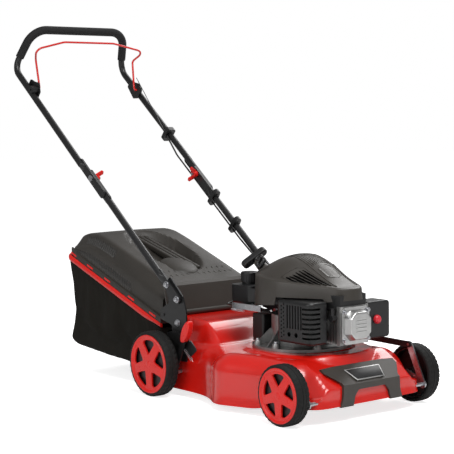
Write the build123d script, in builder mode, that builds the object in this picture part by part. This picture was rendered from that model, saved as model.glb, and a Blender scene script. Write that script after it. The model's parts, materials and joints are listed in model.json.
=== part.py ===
from build123d import *
import os
from math import atan2, cos, radians, sin

os.makedirs("parts", exist_ok=True)

# Push lawn mower, in millimetres. Front is +X, the operator's left is +Y, up is +Z, the ground is z = 0
# and the origin lies on the ground under the middle of the overall length and width.

# Running gear
wheelbase = 516.0
front_axle_x = 580.0
rear_axle_x = front_axle_x - wheelbase
front_radius = 75.0
rear_radius = 87.0
half_width = 246.0
wheel_width = 39.0
crank_reach_x = 55.0
crank_drop = 20.0
axle_rod_radius = 5.0
spindle_radius = 6.0
running_gap = 0.05
crank_plate_y = 197.0
crank_plate_thickness = 4.0
link_pin_x = -45.0
link_pin_z = 97.0

# Deck
deck_wall = 2.5
deck_front_x = 645.0
deck_rear_x = 50.0
deck_side = 190.0
rear_side = 176.0
bulge_x = 330.0
bulge_side = 236.0
skirt_low = 18.0
skirt_front_low = 40.0
shoulder_low = 96.0
deck_top = 146.0
platform_top = 150.0
tunnel_top = 207.0
tunnel_half = 150.0

# Engine, on the vertical crankshaft axis
engine_x = 400.0
engine_floor = platform_top
blade_radius = 200.0
crank_radius = 12.5
shroud_low = 250.0
shroud_crease = 317.0
shroud_high = 388.0
cylinder_z = 222.0
cover_back_x = 591.0

# Handle
tube_radius = 9.5
tube_bore = 8.0
lower_tube_y = 187.0
upper_tube_y = 196.0
slope_x = 64.3
slope_z = 304.0
slope = 0.8142
mid_joint_x = -262.0
crossbar_x = -597.0
crossbar_z = 1006.0
foam_radius = 12.5
flat_width = 25.0
flat_thickness = 5.8
bail_pivot = (-556.0, 826.0)
bail_radius = 3.0

# Grass box
lid_front_x = 22.0
lid_rear_x = -425.0
lid_half = 170.0
trim_z_front = 182.0
trim_slope = 0.362
cloth_wall = 3.0


def save(piece, name):
    piece.part.label = name
    export_step(piece.part, f"parts/{name}.step")


def line_z(x):
    """Height of the handle tubes' centre line at x."""
    return slope_z + (slope_x - x) * slope


def trim_z(x):
    """Height of the grass box's red edge at x."""
    return trim_z_front + (lid_front_x - x) * trim_slope


def side_plane(y):
    """A plane facing +Y whose local x is +X and local y is +Z, seen from the right-hand side."""
    return Plane(origin=(0, y, 0), x_dir=(1, 0, 0), z_dir=(0, -1, 0))


front_pivot = (front_axle_x + crank_reach_x, front_radius - crank_drop)
rear_pivot = (rear_axle_x + crank_reach_x, rear_radius - crank_drop)


# ---------------------------------------------------------------- deck
def deck_outline(inset, height):
    """The deck's closed outline, drawn in by inset, at one height."""
    front = deck_front_x - inset
    corner = deck_side - 18 - inset
    points = [
        (0, inset - rear_side),
        (205, inset - rear_side - 4),
        (bulge_x, inset - bulge_side),
        (455, inset - deck_side - 2),
        (front - 20, inset - deck_side),
        (front, -corner),
        (front, corner),
        (front - 20, deck_side - inset),
        (300, deck_side - inset),
        (205, rear_side + 4 - inset),
        (0, rear_side - inset),
    ]
    with BuildSketch(Plane.XY.offset(height)) as outline:
        with BuildLine():
            Polyline(*points, close=True)
        make_face()
        bends = outline.vertices().filter_by_position(Axis.X, 150, 500)
        fillet(bends, radius=50)
    return outline.sketch


def tunnel_section(x, half, top, shrink):
    """One cross-section of the discharge tunnel, from the deck's inside up to its roof."""
    with BuildSketch(Plane.YZ.offset(x)) as section:
        with Locations((0, (top - shrink + 60) / 2)):
            Rectangle(2 * (half - shrink), top - shrink - 60)
        fillet(section.vertices().group_by(Axis.Y)[-1], radius=26)
    return section.sketch


def platform_outline(shrink, height):
    with BuildSketch(Plane.XY.offset(height)) as pad:
        with Locations((engine_x, 0)):
            Circle(140 - shrink)
        with Locations((engine_x + 42, 0)):
            Circle(138 - shrink)
        make_hull()
    return pad.sketch


def front_trim(drop):
    """Prism above the sloping front of the deck."""
    with BuildSketch(Plane.XZ) as slope_cut:
        with BuildLine():
            Polyline(
                (540, 147 - drop),
                (604 - drop / 2, 116 - drop),
                (deck_front_x + 5, 83 - drop),
                (deck_front_x + 40, 83),
                (deck_front_x + 40, 200),
                (540, 200),
                close=True,
            )
        make_face()
    return slope_cut.sketch


def deck_volume(wall):
    """The deck's outer body, or the space under it when wall is the sheet's thickness."""
    with BuildPart() as volume:
        loft(sections=[deck_outline(wall, skirt_low - wall), deck_outline(wall + 1.5, shoulder_low)],
             ruled=True)
        rise = [(1.5, shoulder_low), (9, 118), (26, 136), (48, deck_top)]
        loft(sections=[deck_outline(wall + inset, height - (wall if height > shoulder_low else 0))
                       for inset, height in rise])
        loft(sections=[tunnel_section(0, tunnel_half, tunnel_top, wall),
                       tunnel_section(150, tunnel_half - 6, tunnel_top - 10, wall),
                       tunnel_section(262, tunnel_half - 50, deck_top, wall)], ruled=True)
        extrude(platform_outline(wall, deck_top - 12), amount=platform_top - wall - deck_top + 12)
        with Locations((engine_x, 0, skirt_low - wall)):
            Cylinder(blade_radius + 10 - wall, 52, align=(Align.CENTER, Align.CENTER, Align.MIN))
        extrude(front_trim(wall), amount=400, both=True, mode=Mode.SUBTRACT)
    return volume.part


with BuildPart() as deck_shell:
    add(deck_volume(0))
    extrude(deck_outline(-3, skirt_low), amount=deck_wall)
    add(deck_volume(deck_wall), mode=Mode.SUBTRACT)
    with Locations((deck_rear_x - 100, 0, 100)):
        Box(200, 500, 300, mode=Mode.SUBTRACT)
    with BuildSketch(Plane.XZ):
        with BuildLine():
            Polyline((430, 0), (430, skirt_low), (560, skirt_front_low), (720, skirt_front_low), (720, 0),
                     close=True)
        make_face()
    extrude(amount=400, both=True, mode=Mode.SUBTRACT)
    with Locations((engine_x, 0, deck_top)):
        Cylinder(62, 40, mode=Mode.SUBTRACT)
    with Locations((front_pivot[0], 0, front_pivot[1]), (rear_pivot[0], 0, rear_pivot[1])):
        Cylinder(axle_rod_radius + running_gap, 500, rotation=(90, 0, 0), mode=Mode.SUBTRACT)
save(deck_shell, "deck_shell")

# Front trim: a moulded band that follows the sloping nose, with two legs down to the skirt
with BuildPart() as front_bumper:
    with BuildSketch(Plane.XZ):
        with BuildLine():
            Polyline((595, 122.6), (645.8, 87.6), (645.8, skirt_front_low - 2), (653, skirt_front_low - 2),
                     (653, 91), (599, 128.4), close=True)
        make_face()
    extrude(amount=200, both=True)
    with BuildSketch(Plane.YZ) as bumper_face:
        with BuildLine():
            Polyline((-124, 126), (-124, 117), (-96, 96), (-98, 60), (-106, 38), (-64, 38), (-58, 62),
                     (-46, 76), (46, 76), (58, 62), (64, 38), (106, 38), (98, 60), (96, 96), (124, 117),
                     (124, 126), (60, 130), (-60, 130), close=True)
        make_face()
        fillet(bumper_face.vertices().filter_by_position(Axis.Y, 50, 100), radius=8)
    extrude(amount=700, mode=Mode.INTERSECT)
save(front_bumper, "front_bumper")

# ---------------------------------------------------------------- handle brackets and lower tubes
bracket_y = 178.4
bracket_thickness = 4.0
flap_axis = (52.0, 212.0)
bracket_points = [(88, 95), (150, 95), (150, 228), (136, 268), (84, 316), (56, 300), (78, 246), (38, 226),
                  (38, 200), (88, 188)]
upper_bolt = (75.0, 295.3)
lower_bolt = (119.0, 259.5)
deck_bolt = (114.0, 196.0)

with BuildPart() as handle_brackets:
    for side in (-1, 1):
        with BuildSketch(side_plane(side * (bracket_y + bracket_thickness / 2))) as bracket_face:
            with BuildLine():
                Polyline(*bracket_points, close=True)
            make_face()
            fillet(bracket_face.vertices(), radius=7)
            with Locations(upper_bolt, lower_bolt, deck_bolt):
                Circle(4.2, mode=Mode.SUBTRACT)
            with Locations(flap_axis):
                Circle(4.05, mode=Mode.SUBTRACT)
            with Locations(rear_pivot):
                Circle(axle_rod_radius + 2, mode=Mode.SUBTRACT)
        extrude(amount=bracket_thickness / 2, both=True)
save(handle_brackets, "handle_brackets")

along = Vector(-1, 0, slope).normalized()


def slope_point(x, y, shift=0.0):
    """A point on a handle tube's centre line at x, moved along the tube by shift."""
    return Vector(x, y, line_z(x)) + along * shift


def flat_end(x_from, x_to, y_middle):
    """The flattened end of a tube: a round-ended plate along the slope."""
    start = slope_point(x_from, y_middle)
    end = slope_point(x_to, y_middle)
    length = (end - start).length
    plane = Plane(origin=(start + end) * 0.5, x_dir=along, z_dir=(0, 1, 0))
    with BuildSketch(plane) as flat:
        SlotCenterToCenter(length, flat_width)
    extrude(flat.sketch, amount=flat_thickness / 2, both=True)


def round_tube(start, end):
    """A straight hollow tube between two points."""
    with BuildSketch(Plane(origin=start, z_dir=end - start)) as ring:
        Circle(tube_radius)
        Circle(tube_bore, mode=Mode.SUBTRACT)
    extrude(ring.sketch, amount=(end - start).length)


lower_flat_y = 185.9
upper_flat_y = 192.1
for side, name in ((-1, "right"), (1, "left")):
    with BuildPart() as lower_handle:
        flat_end(119, 42, side * lower_flat_y)
        round_tube(slope_point(46, side * lower_tube_y), slope_point(-196, side * lower_tube_y))
        flat_end(-192, mid_joint_x - 14, side * lower_flat_y)
        with Locations(*[(x, side * lower_flat_y, z) for x, z in (upper_bolt, lower_bolt)]):
            Cylinder(4.2, 20, rotation=(90, 0, 0), mode=Mode.SUBTRACT)
        with Locations((mid_joint_x, side * lower_flat_y, line_z(mid_joint_x))):
            Cylinder(4.06, 20, rotation=(90, 0, 0), mode=Mode.SUBTRACT)
    save(lower_handle, f"lower_handle_{name}")

# Screws that hold the handle to its brackets and the brackets to the deck
with BuildPart() as handle_bolts:
    for side in (-1, 1):
        for x, z in (upper_bolt, lower_bolt, deck_bolt):
            outer = lower_flat_y + flat_thickness / 2 if z > 200 else bracket_y + bracket_thickness
            inner = bracket_y if z > 200 else bracket_y - 14
            with Locations((x, side * (outer + inner) / 2, z)):
                Cylinder(4, outer - inner, rotation=(90, 0, 0))
            with Locations((x, side * (outer + 1.6), z)):
                Cylinder(8, 3.2, rotation=(90, 0, 0))
            with Locations((x, side * (inner - 3), z)):
                Cylinder(6.5, 6, rotation=(90, 0, 0))
save(handle_bolts, "handle_bolts")

# ---------------------------------------------------------------- upper handle loop
loop_shoulder = Vector(-660, upper_tube_y, line_z(-660))
loop_corner = Vector(crossbar_x, 165, crossbar_z)


def mirrored(point):
    return Vector(point.X, -point.Y, point.Z)


upper_start = slope_point(mid_joint_x - 46, upper_tube_y)
with BuildPart() as upper_handle:
    with BuildLine() as loop_path:
        FilletPolyline(mirrored(upper_start), mirrored(loop_shoulder), mirrored(loop_corner), loop_corner,
                       loop_shoulder, upper_start, radius=[40, 60, 60, 40])
    with BuildSketch(Plane(origin=mirrored(upper_start), z_dir=along)):
        Circle(tube_radius)
        Circle(tube_bore, mode=Mode.SUBTRACT)
    sweep(path=loop_path.wires()[0])
    for side in (-1, 1):
        flat_end(mid_joint_x - 52, mid_joint_x + 52, side * upper_flat_y)
        with Locations((mid_joint_x, side * upper_flat_y, line_z(mid_joint_x))):
            Cylinder(4.3, 20, rotation=(90, 0, 0), mode=Mode.SUBTRACT)
save(upper_handle, "upper_handle")

grip_start = loop_shoulder + (loop_corner - loop_shoulder).normalized() * 37
with BuildPart() as foam_grip:
    with BuildLine() as grip_path:
        FilletPolyline(mirrored(grip_start), mirrored(loop_corner), loop_corner, grip_start, radius=[60, 60])
    with BuildSketch(Plane(origin=mirrored(grip_start), z_dir=mirrored(loop_corner) - mirrored(grip_start))):
        Circle(foam_radius)
        Circle(tube_radius + 0.05, mode=Mode.SUBTRACT)
    sweep(path=grip_path.wires()[0])
save(foam_grip, "foam_grip")

# Bolts through the folding joint: head outside, shank through both flats, thread for the wing nut inside
with BuildPart() as mid_bolts:
    for side in (-1, 1):
        outer = upper_flat_y + flat_thickness / 2
        inner = lower_flat_y - flat_thickness / 2 - 18
        with Locations((mid_joint_x, side * (outer + inner) / 2, line_z(mid_joint_x))):
            Cylinder(4, outer - inner, rotation=(90, 0, 0))
        with Locations((mid_joint_x, side * (outer + 1.8), line_z(mid_joint_x))):
            Cylinder(9, 3.6, rotation=(90, 0, 0))
save(mid_bolts, "mid_bolts")

nut_face_y = lower_flat_y - flat_thickness / 2 - 0.1
for side, name in ((-1, "right"), (1, "left")):
    with BuildPart() as wing_nut:
        with Locations((mid_joint_x, side * (nut_face_y - 6), line_z(mid_joint_x))):
            Cylinder(10, 12, rotation=(90, 0, 0))
        wing_plane = Plane(origin=(mid_joint_x, side * nut_face_y, line_z(mid_joint_x)),
                           x_dir=(0.35, 0, 0.937), z_dir=(-0.937, 0, 0.35))
        with BuildSketch(wing_plane) as wing_face:
            with BuildLine():
                Polyline((-9, 0), (9, 0), (15, -side * 8), (24, -side * 24), (13, -side * 25),
                         (6, -side * 13), (-6, -side * 13), (-13, -side * 25), (-24, -side * 24),
                         (-15, -side * 8), close=True)
            make_face()
            fillet(wing_face.vertices(), radius=2.5)
        extrude(amount=3.2, both=True)
        with Locations((mid_joint_x, side * (nut_face_y - 6), line_z(mid_joint_x))):
            Cylinder(4 + running_gap, 70, rotation=(90, 0, 0), mode=Mode.SUBTRACT)
    save(wing_nut, f"wing_nut_{name}")

# ---------------------------------------------------------------- bail and its clamps
with BuildPart() as handle_clamps:
    for side in (-1, 1):
        depth = 22 if side < 0 else 12
        with BuildSketch(side_plane(side * 181.5)) as clamp_face:
            with BuildLine():
                Polyline((-604, 838), (-586, 858), (-566, 850), (-542, 846), (-538, 818), (-552, 800),
                         (-574, 800), close=True)
            make_face()
            fillet(clamp_face.vertices(), radius=5)
        extrude(amount=side * -4)
        with Locations((bail_pivot[0], side * (182.5 + depth / 2), bail_pivot[1])):
            Cylinder(12, depth, rotation=(90, 0, 0))
        with Locations((bail_pivot[0], side * 188, bail_pivot[1])):
            Cylinder(bail_radius + running_gap, 60, rotation=(90, 0, 0), mode=Mode.SUBTRACT)
        tube_plane = Plane(origin=slope_point(-500, side * upper_tube_y), z_dir=along)
        with BuildSketch(tube_plane):
            Circle(tube_radius + 0.05)
        extrude(amount=160, mode=Mode.SUBTRACT)
    stop_centre = slope_point(-408, upper_tube_y)
    with BuildSketch(Plane(origin=stop_centre, x_dir=(0, 1, 0), z_dir=along)) as stop_face:
        with Locations((-4, 0)):
            Rectangle(32, 44)
        fillet(stop_face.vertices(), radius=8)
        Circle(tube_radius + 0.05, mode=Mode.SUBTRACT)
        with Locations((-13.5, 0)):
            Rectangle(7, 18, mode=Mode.SUBTRACT)
    extrude(amount=7, both=True)
save(handle_clamps, "handle_clamps")

bail_side = [
    Vector(bail_pivot[0], 196, bail_pivot[1]),
    Vector(bail_pivot[0], 173, bail_pivot[1]),
    Vector(-569, 177, 916),
    Vector(-534, 197, 944),
    Vector(-545, 90, 968),
]
with BuildPart() as bail:
    with BuildLine() as bail_path:
        FilletPolyline(*[mirrored(p) for p in bail_side], *reversed(bail_side),
                       radius=[8, 14, 16, 60, 60, 16, 14, 8])
    with BuildSketch(Plane(origin=mirrored(bail_side[0]), z_dir=(0, 1, 0))):
        Circle(bail_radius)
    sweep(path=bail_path.wires()[0])
save(bail, "bail")

# ---------------------------------------------------------------- axles, lever and link
for name, axle_x, radius, pivot in (
    ("front_axle", front_axle_x, front_radius, front_pivot),
    ("rear_axle", rear_axle_x, rear_radius, rear_pivot),
):
    pin = (pivot[0] + link_pin_x, pivot[1] + link_pin_z)
    with BuildPart() as axle:
        with Locations((pivot[0], 0, pivot[1])):
            Cylinder(axle_rod_radius, 2 * crank_plate_y, rotation=(90, 0, 0))
        for side in (-1, 1):
            with BuildSketch(side_plane(side * (crank_plate_y + crank_plate_thickness / 2))):
                with Locations(pivot, (axle_x, radius)):
                    Circle(11)
                make_hull()
            extrude(amount=crank_plate_thickness / 2, both=True)
            with Locations((axle_x, side * (crank_plate_y + half_width - 6) / 2, radius)):
                Cylinder(spindle_radius, half_width - 6 - crank_plate_y, rotation=(90, 0, 0))
        with BuildSketch(side_plane(crank_plate_y + crank_plate_thickness / 2)):
            with Locations(pivot, pin):
                Circle(9)
            make_hull()
        extrude(amount=crank_plate_thickness / 2, both=True)
        with Locations((pin[0], crank_plate_y - 2.5, pin[1])):
            Cylinder(3, 5, rotation=(90, 0, 0))
    save(axle, name)

front_pin = (front_pivot[0] + link_pin_x, front_pivot[1] + link_pin_z)
rear_pin = (rear_pivot[0] + link_pin_x, rear_pivot[1] + link_pin_z)
with BuildPart() as link_bar:
    with BuildSketch(side_plane(194.6)):
        with Locations(front_pin, rear_pin):
            Circle(8)
        make_hull()
        with Locations(rear_pin):
            Circle(3 + running_gap, mode=Mode.SUBTRACT)
        with Locations(front_pin):
            Circle(3.6, mode=Mode.SUBTRACT)
    extrude(amount=1.6, both=True)
save(link_bar, "link_bar")

lever_tip = (180.0, 181.0)
lever_run = Vector(lever_tip[0] - rear_pivot[0], 0, lever_tip[1] - rear_pivot[1]).normalized()
lever_plane = Plane(origin=(rear_pivot[0], -(crank_plate_y + 5.6), rear_pivot[1]), x_dir=lever_run,
                    z_dir=(0, -1, 0))
with BuildPart() as height_lever:
    with BuildSketch(lever_plane):
        with BuildLine():
            Polyline((-12, -9), (20, -11), (96, -7), (150, -7), (150, 7), (96, 7), (20, 11), (-12, 9),
                     close=True)
        make_face()
    extrude(amount=1.5, both=True)
save(height_lever, "height_lever")

with BuildPart() as lever_grip:
    with BuildSketch(lever_plane.offset(2.0)):
        with Locations((130, 0)):
            Ellipse(32, 12.5)
    extrude(amount=9, both=True)
    fillet(lever_grip.edges().group_by(Axis.Y)[-1] + lever_grip.edges().group_by(Axis.Y)[0], radius=3.5)
    with BuildSketch(lever_plane):
        with Locations((100, 0)):
            Rectangle(101, 14.1)
    extrude(amount=1.55, both=True, mode=Mode.SUBTRACT)
save(lever_grip, "lever_grip")

sector = [(0, 0)] + [(200 * cos(radians(turn)), 200 * sin(radians(turn))) for turn in (38, 75, 112)]
with BuildPart() as height_quadrant:
    with BuildSketch(side_plane(-191)):
        with Locations(rear_pivot):
            Circle(108)
            Circle(72, mode=Mode.SUBTRACT)
            Polygon(*sector, align=None, mode=Mode.INTERSECT)
            with PolarLocations(107, 6, start_angle=58, angular_range=40, endpoint=True):
                Circle(3.4, mode=Mode.SUBTRACT)
    extrude(amount=1.5, both=True)
    with Locations((rear_pivot[0] + 28, -186, rear_pivot[1] + 84),
                   (rear_pivot[0] - 12, -186, rear_pivot[1] + 88)):
        Cylinder(4, 7, rotation=(90, 0, 0))
save(height_quadrant, "height_quadrant")


# ---------------------------------------------------------------- wheels
def wheel(axle_x, radius, disc_radius, side, end):
    """A moulded hub with five windows, and the tyre around it."""
    outer_y = side * half_width
    rim_radius = disc_radius - 3
    face_y = outer_y - side * 7
    with BuildPart() as hub:
        with BuildSketch(Plane(origin=(axle_x, outer_y, radius), x_dir=(1, 0, 0), z_dir=(0, -side, 0))):
            Circle(disc_radius - 1)
        extrude(amount=7)
        with BuildSketch(Plane(origin=(axle_x, face_y, radius), x_dir=(1, 0, 0), z_dir=(0, -side, 0))):
            Circle(rim_radius)
            Circle(rim_radius - 4, mode=Mode.SUBTRACT)
            Circle(15)
        extrude(amount=wheel_width - 9)
        with BuildSketch(Plane(origin=(axle_x, outer_y, radius), x_dir=(1, 0, 0), z_dir=(0, -side, 0))):
            Circle(disc_radius - 5)
            Circle(0.34 * disc_radius, mode=Mode.SUBTRACT)
        extrude(amount=2.2, mode=Mode.SUBTRACT)
        inner = 0.36 * disc_radius
        outer = 0.80 * disc_radius
        half = 0.36 * disc_radius
        with BuildSketch(Plane(origin=(axle_x, outer_y + side, radius), x_dir=(1, 0, 0),
                               z_dir=(0, -side, 0))) as windows:
            with PolarLocations(0, 5, start_angle=90):
                Polygon((inner, 0), (outer, half), (outer, -half), align=None)
            fillet(windows.vertices(), radius=4)
        extrude(amount=9, mode=Mode.SUBTRACT)
        with Locations((axle_x, outer_y, radius)):
            Cylinder(spindle_radius + running_gap, 100, rotation=(90, 0, 0), mode=Mode.SUBTRACT)
    save(hub, f"wheel_{end}")
    with BuildPart() as tyre:
        with BuildSketch(Plane(origin=(axle_x, face_y, radius), x_dir=(1, 0, 0), z_dir=(0, -side, 0))):
            Circle(radius)
            Circle(rim_radius, mode=Mode.SUBTRACT)
        extrude(amount=wheel_width - 7)
        with BuildSketch(Plane(origin=(axle_x, face_y, radius), x_dir=(1, 0, 0), z_dir=(0, side, 0))):
            Circle(radius)
            Circle(disc_radius - 1, mode=Mode.SUBTRACT)
        extrude(amount=6)
        shoulders = tyre.edges().filter_by(GeomType.CIRCLE).filter_by(lambda e: abs(e.radius - radius) < 0.1)
        chamfer(shoulders, length=3.5)
    save(tyre, f"tyre_{end}")


wheel(front_axle_x, front_radius, 68.0, -1, "front_right")
wheel(front_axle_x, front_radius, 68.0, 1, "front_left")
wheel(rear_axle_x, rear_radius, 78.5, -1, "rear_right")
wheel(rear_axle_x, rear_radius, 78.5, 1, "rear_left")

# ---------------------------------------------------------------- engine
with BuildPart() as crankcase:
    with Locations((engine_x, 0, engine_floor)):
        Cylinder(128, 7, align=(Align.CENTER, Align.CENTER, Align.MIN))
        Cylinder(78, 84, align=(Align.CENTER, Align.CENTER, Align.MIN))
    for angle in (54, 90, 126, 162, 234, 270):
        rib_run = Vector(cos(radians(angle)), sin(radians(angle)), 0)
        with BuildSketch(Plane(origin=(engine_x, 0, engine_floor + 6), x_dir=rib_run,
                               z_dir=rib_run.cross(Vector(0, 0, 1)))):
            with BuildLine():
                Polyline((70, 0), (122, 0), (82, 40), (70, 40), close=True)
            make_face()
        extrude(amount=2, both=True)
    with Locations((engine_x, 0, engine_floor + 68)):
        Cylinder(64, 24, mode=Mode.SUBTRACT)
    with Locations((engine_x, 0, engine_floor)):
        Cylinder(crank_radius + running_gap, 300, mode=Mode.SUBTRACT)
save(crankcase, "crankcase")

# Finned cylinder lying along +X, with its head at the front
with BuildPart() as cylinder:
    with Locations(((478 + cover_back_x) / 2, 0, cylinder_z)):
        Box(cover_back_x - 478 - 0.6, 68, 70)
    for step in range(9):
        with Locations((488 + 10.5 * step, 0, cylinder_z)):
            Box(3, 96, 92)
    with Locations((cover_back_x - 6, 0, cylinder_z)):
        Box(11.4, 98, 96)
    with Locations((540, -50, cylinder_z)):
        Box(26, 6, 26)
save(cylinder, "cylinder")

with BuildPart() as valve_cover:
    with BuildSketch(Plane.YZ.offset(cover_back_x)) as flange:
        with Locations((0, cylinder_z)):
            Rectangle(94, 92)
        chamfer(flange.vertices(), length=12)
    extrude(amount=6)
    with BuildSketch(Plane.YZ.offset(cover_back_x + 6)) as dome:
        with Locations((0, cylinder_z)):
            Rectangle(78, 76)
        chamfer(dome.vertices(), length=18)
    extrude(amount=20, taper=14)
    fillet(valve_cover.faces().sort_by(Axis.X)[-1].edges(), radius=4)
save(valve_cover, "valve_cover")

# Screws of the valve cover, at its four corners
with BuildPart() as engine_bolts:
    for side in (-1, 1):
        for level in (-1, 1):
            with Locations((cover_back_x + 6.05, side * 39.5, cylinder_z + level * 35)):
                Cylinder(5, 5, rotation=(0, 90, 0), align=(Align.CENTER, Align.CENTER, Align.MIN))
save(engine_bolts, "engine_bolts")

muffler_y = (-118.0, -62.0)
with BuildPart() as muffler:
    with Locations((500, (muffler_y[0] + muffler_y[1]) / 2, 230)):
        Box(110, muffler_y[1] - muffler_y[0] - 6, 90)
    fillet(muffler.edges().filter_by(Axis.X), radius=16)
    with Locations((540, -59.2, cylinder_z)):
        Cylinder(11, 12, rotation=(90, 0, 0))
save(muffler, "muffler")

guard_box = (436.0, 566.0, -124.0, -70.0, 178.0, 283.0)
with BuildPart() as muffler_guard:
    x0, x1, y0, y1, z0, z1 = guard_box
    with Locations(((x0 + x1) / 2, (y0 + y1) / 2, (z0 + z1) / 2)):
        Box(x1 - x0, y1 - y0, z1 - z0)
    fillet(muffler_guard.edges().filter_by(Axis.Z).group_by(Axis.Y)[0], radius=20)
    fillet(muffler_guard.faces().sort_by(Axis.Y)[0].edges().filter_by(Axis.X), radius=7)
    offset(amount=-2, openings=muffler_guard.faces().sort_by(Axis.Y)[-1])
    for column in range(6):
        with Locations((482 + 10 * column, y0, 244)):
            Box(4.5, 30, 58, mode=Mode.SUBTRACT)
    for row in range(7):
        with Locations((x1, y0 + 16, 195 + 12 * row)):
            Box(60, 34, 5, mode=Mode.SUBTRACT)
    for row in range(9):
        with Locations((460, y0, 192 + 9.6 * row), (469, y0, 196.8 + 9.6 * row)):
            Cylinder(2.2, 20, rotation=(90, 0, 0), mode=Mode.SUBTRACT)
    with Locations((488, y0, 200), (514, y0, 200)):
        Cylinder(6, 12, rotation=(90, 0, 0), mode=Mode.SUBTRACT)
save(muffler_guard, "muffler_guard")

with BuildPart() as carburettor:
    with Locations((534, 61.5, 214)):
        Cylinder(17, 25, rotation=(90, 0, 0))
    with Locations((534, 61.8, 190)):
        Cylinder(12.5, 26)
save(carburettor, "carburettor")

filter_box = (505.0, 560.0, 75.0, 158.0, 174.0, 268.0)
primer_y = 110.0
primer_radius = 11.4
primer_seat = 5.8
primer_travel = 5.0
with BuildPart() as air_filter_box:
    x0, x1, y0, y1, z0, z1 = filter_box
    with Locations(((x0 + x1) / 2, (y0 + y1) / 2, (z0 + z1) / 2)):
        Box(x1 - x0, y1 - y0, z1 - z0)
    fillet(air_filter_box.edges().filter_by(Axis.X), radius=9)
    fillet(air_filter_box.faces().sort_by(Axis.X)[-1].edges(), radius=4)
    with Locations((x1, primer_y, cylinder_z)):
        Cylinder(primer_radius + running_gap, 2 * (primer_seat + primer_travel + 0.4), rotation=(0, 90, 0),
                 mode=Mode.SUBTRACT)
save(air_filter_box, "air_filter_box")

with BuildPart() as primer_bulb:
    with BuildSketch(Plane(origin=(x1 - primer_seat, primer_y, cylinder_z), x_dir=(0, 1, 0),
                           z_dir=(0, 0, -1))):
        with BuildLine():
            Polyline((0, 0), (primer_radius, 0), (primer_radius, 8))
            Spline((primer_radius, 8), (8.6, 14.5), (0, 17.5), tangents=[(0, 1), (-1, 0)])
            Line((0, 17.5), (0, 0))
        make_face()
    revolve(axis=Axis((0, primer_y, cylinder_z), (1, 0, 0)))
save(primer_bulb, "primer_bulb")

# Fuel tank behind the shroud, with its neck and cap
neck = (216.0, -18.0)
with BuildPart() as fuel_tank:
    with Locations((232, 0, 271)):
        Box(92, 128, 50)
    fillet(fuel_tank.edges().filter_by(Axis.Z), radius=18)
    fillet(fuel_tank.faces().sort_by(Axis.Z)[0].edges(), radius=9)
    with Locations((engine_x, 0, 268)):
        Cylinder(119.5, 80, mode=Mode.SUBTRACT)
    with Locations((neck[0], neck[1], 290)):
        Cylinder(20, 26, align=(Align.CENTER, Align.CENTER, Align.MIN))
save(fuel_tank, "fuel_tank")

with BuildPart() as fuel_cap:
    with Locations((neck[0], neck[1], 302)):
        Cylinder(23.5, 26, align=(Align.CENTER, Align.CENTER, Align.MIN))
    fillet(fuel_cap.faces().sort_by(Axis.Z)[-1].edges(), radius=4)
    for turn in range(18):
        angle = radians(20 * turn)
        with Locations((neck[0] + 24.4 * cos(angle), neck[1] + 24.4 * sin(angle), 302)):
            Cylinder(1.8, 20, align=(Align.CENTER, Align.CENTER, Align.MIN), mode=Mode.SUBTRACT)
    with Locations((neck[0], neck[1], 302)):
        Cylinder(20 + running_gap, 14.2, align=(Align.CENTER, Align.CENTER, Align.MIN), mode=Mode.SUBTRACT)
save(fuel_cap, "fuel_cap")

# Oil filler on the far side of the crankcase, with the dipstick screwed into it
filler = (370.0, 100.0)
with BuildPart() as oil_filler_tube:
    with Locations((filler[0], filler[1], engine_floor + 7)):
        Cylinder(13, 70, align=(Align.CENTER, Align.CENTER, Align.MIN))
        Cylinder(9, 80, align=(Align.CENTER, Align.CENTER, Align.MIN), mode=Mode.SUBTRACT)
    with Locations((filler[0] + 3, filler[1] - 14, engine_floor + 22)):
        Box(16, 8, 20)
    with Locations((engine_x, 0, engine_floor)):
        Cylinder(78.05, 200, mode=Mode.SUBTRACT)
    with Locations((filler[0], filler[1], engine_floor + 7)):
        Cylinder(9, 80, align=(Align.CENTER, Align.CENTER, Align.MIN), mode=Mode.SUBTRACT)
save(oil_filler_tube, "oil_filler_tube")

with BuildPart() as dipstick:
    with Locations((filler[0], filler[1], engine_floor + 77.1)):
        Cylinder(16, 8, align=(Align.CENTER, Align.CENTER, Align.MIN))
        Box(7, 28, 12, align=(Align.CENTER, Align.CENTER, Align.MIN))
    with Locations((filler[0], filler[1], engine_floor + 20)):
        Cylinder(2.5, 58, align=(Align.CENTER, Align.CENTER, Align.MIN))
    with Locations((filler[0], filler[1], engine_floor + 62)):
        Cylinder(8.9, 16, align=(Align.CENTER, Align.CENTER, Align.MIN))
save(dipstick, "dipstick")


# ---------------------------------------------------------------- shroud
def shroud_section(height, rear_radius_here, rear_x, tip_radius, tip_x, wall):
    """Teardrop outline: a round over the flywheel, drawn out to a narrow front over the cylinder."""
    with BuildSketch(Plane.XY.offset(height)) as section:
        with Locations((rear_x, 0)):
            Circle(rear_radius_here - wall)
        with Locations((tip_x, 0)):
            Circle(tip_radius - wall)
        make_hull()
    return section.sketch


def shroud_volume(wall):
    drop = wall * 1.15
    with BuildPart() as volume:
        loft(sections=[shroud_section(shroud_low - wall, 121, engine_x, 54, 546, wall),
                       shroud_section(shroud_crease - drop, 118, engine_x, 47, 552, wall)], ruled=True)
        loft(sections=[shroud_section(shroud_crease - drop, 118, engine_x, 47, 552, wall),
                       shroud_section(350 - drop, 104, engine_x - 2, 36, 513, wall),
                       shroud_section(374 - drop, 78, engine_x - 5, 26, 469, wall),
                       shroud_section(shroud_high - drop, 40, engine_x - 8, 16, 432, wall)])
    return volume.part


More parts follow.
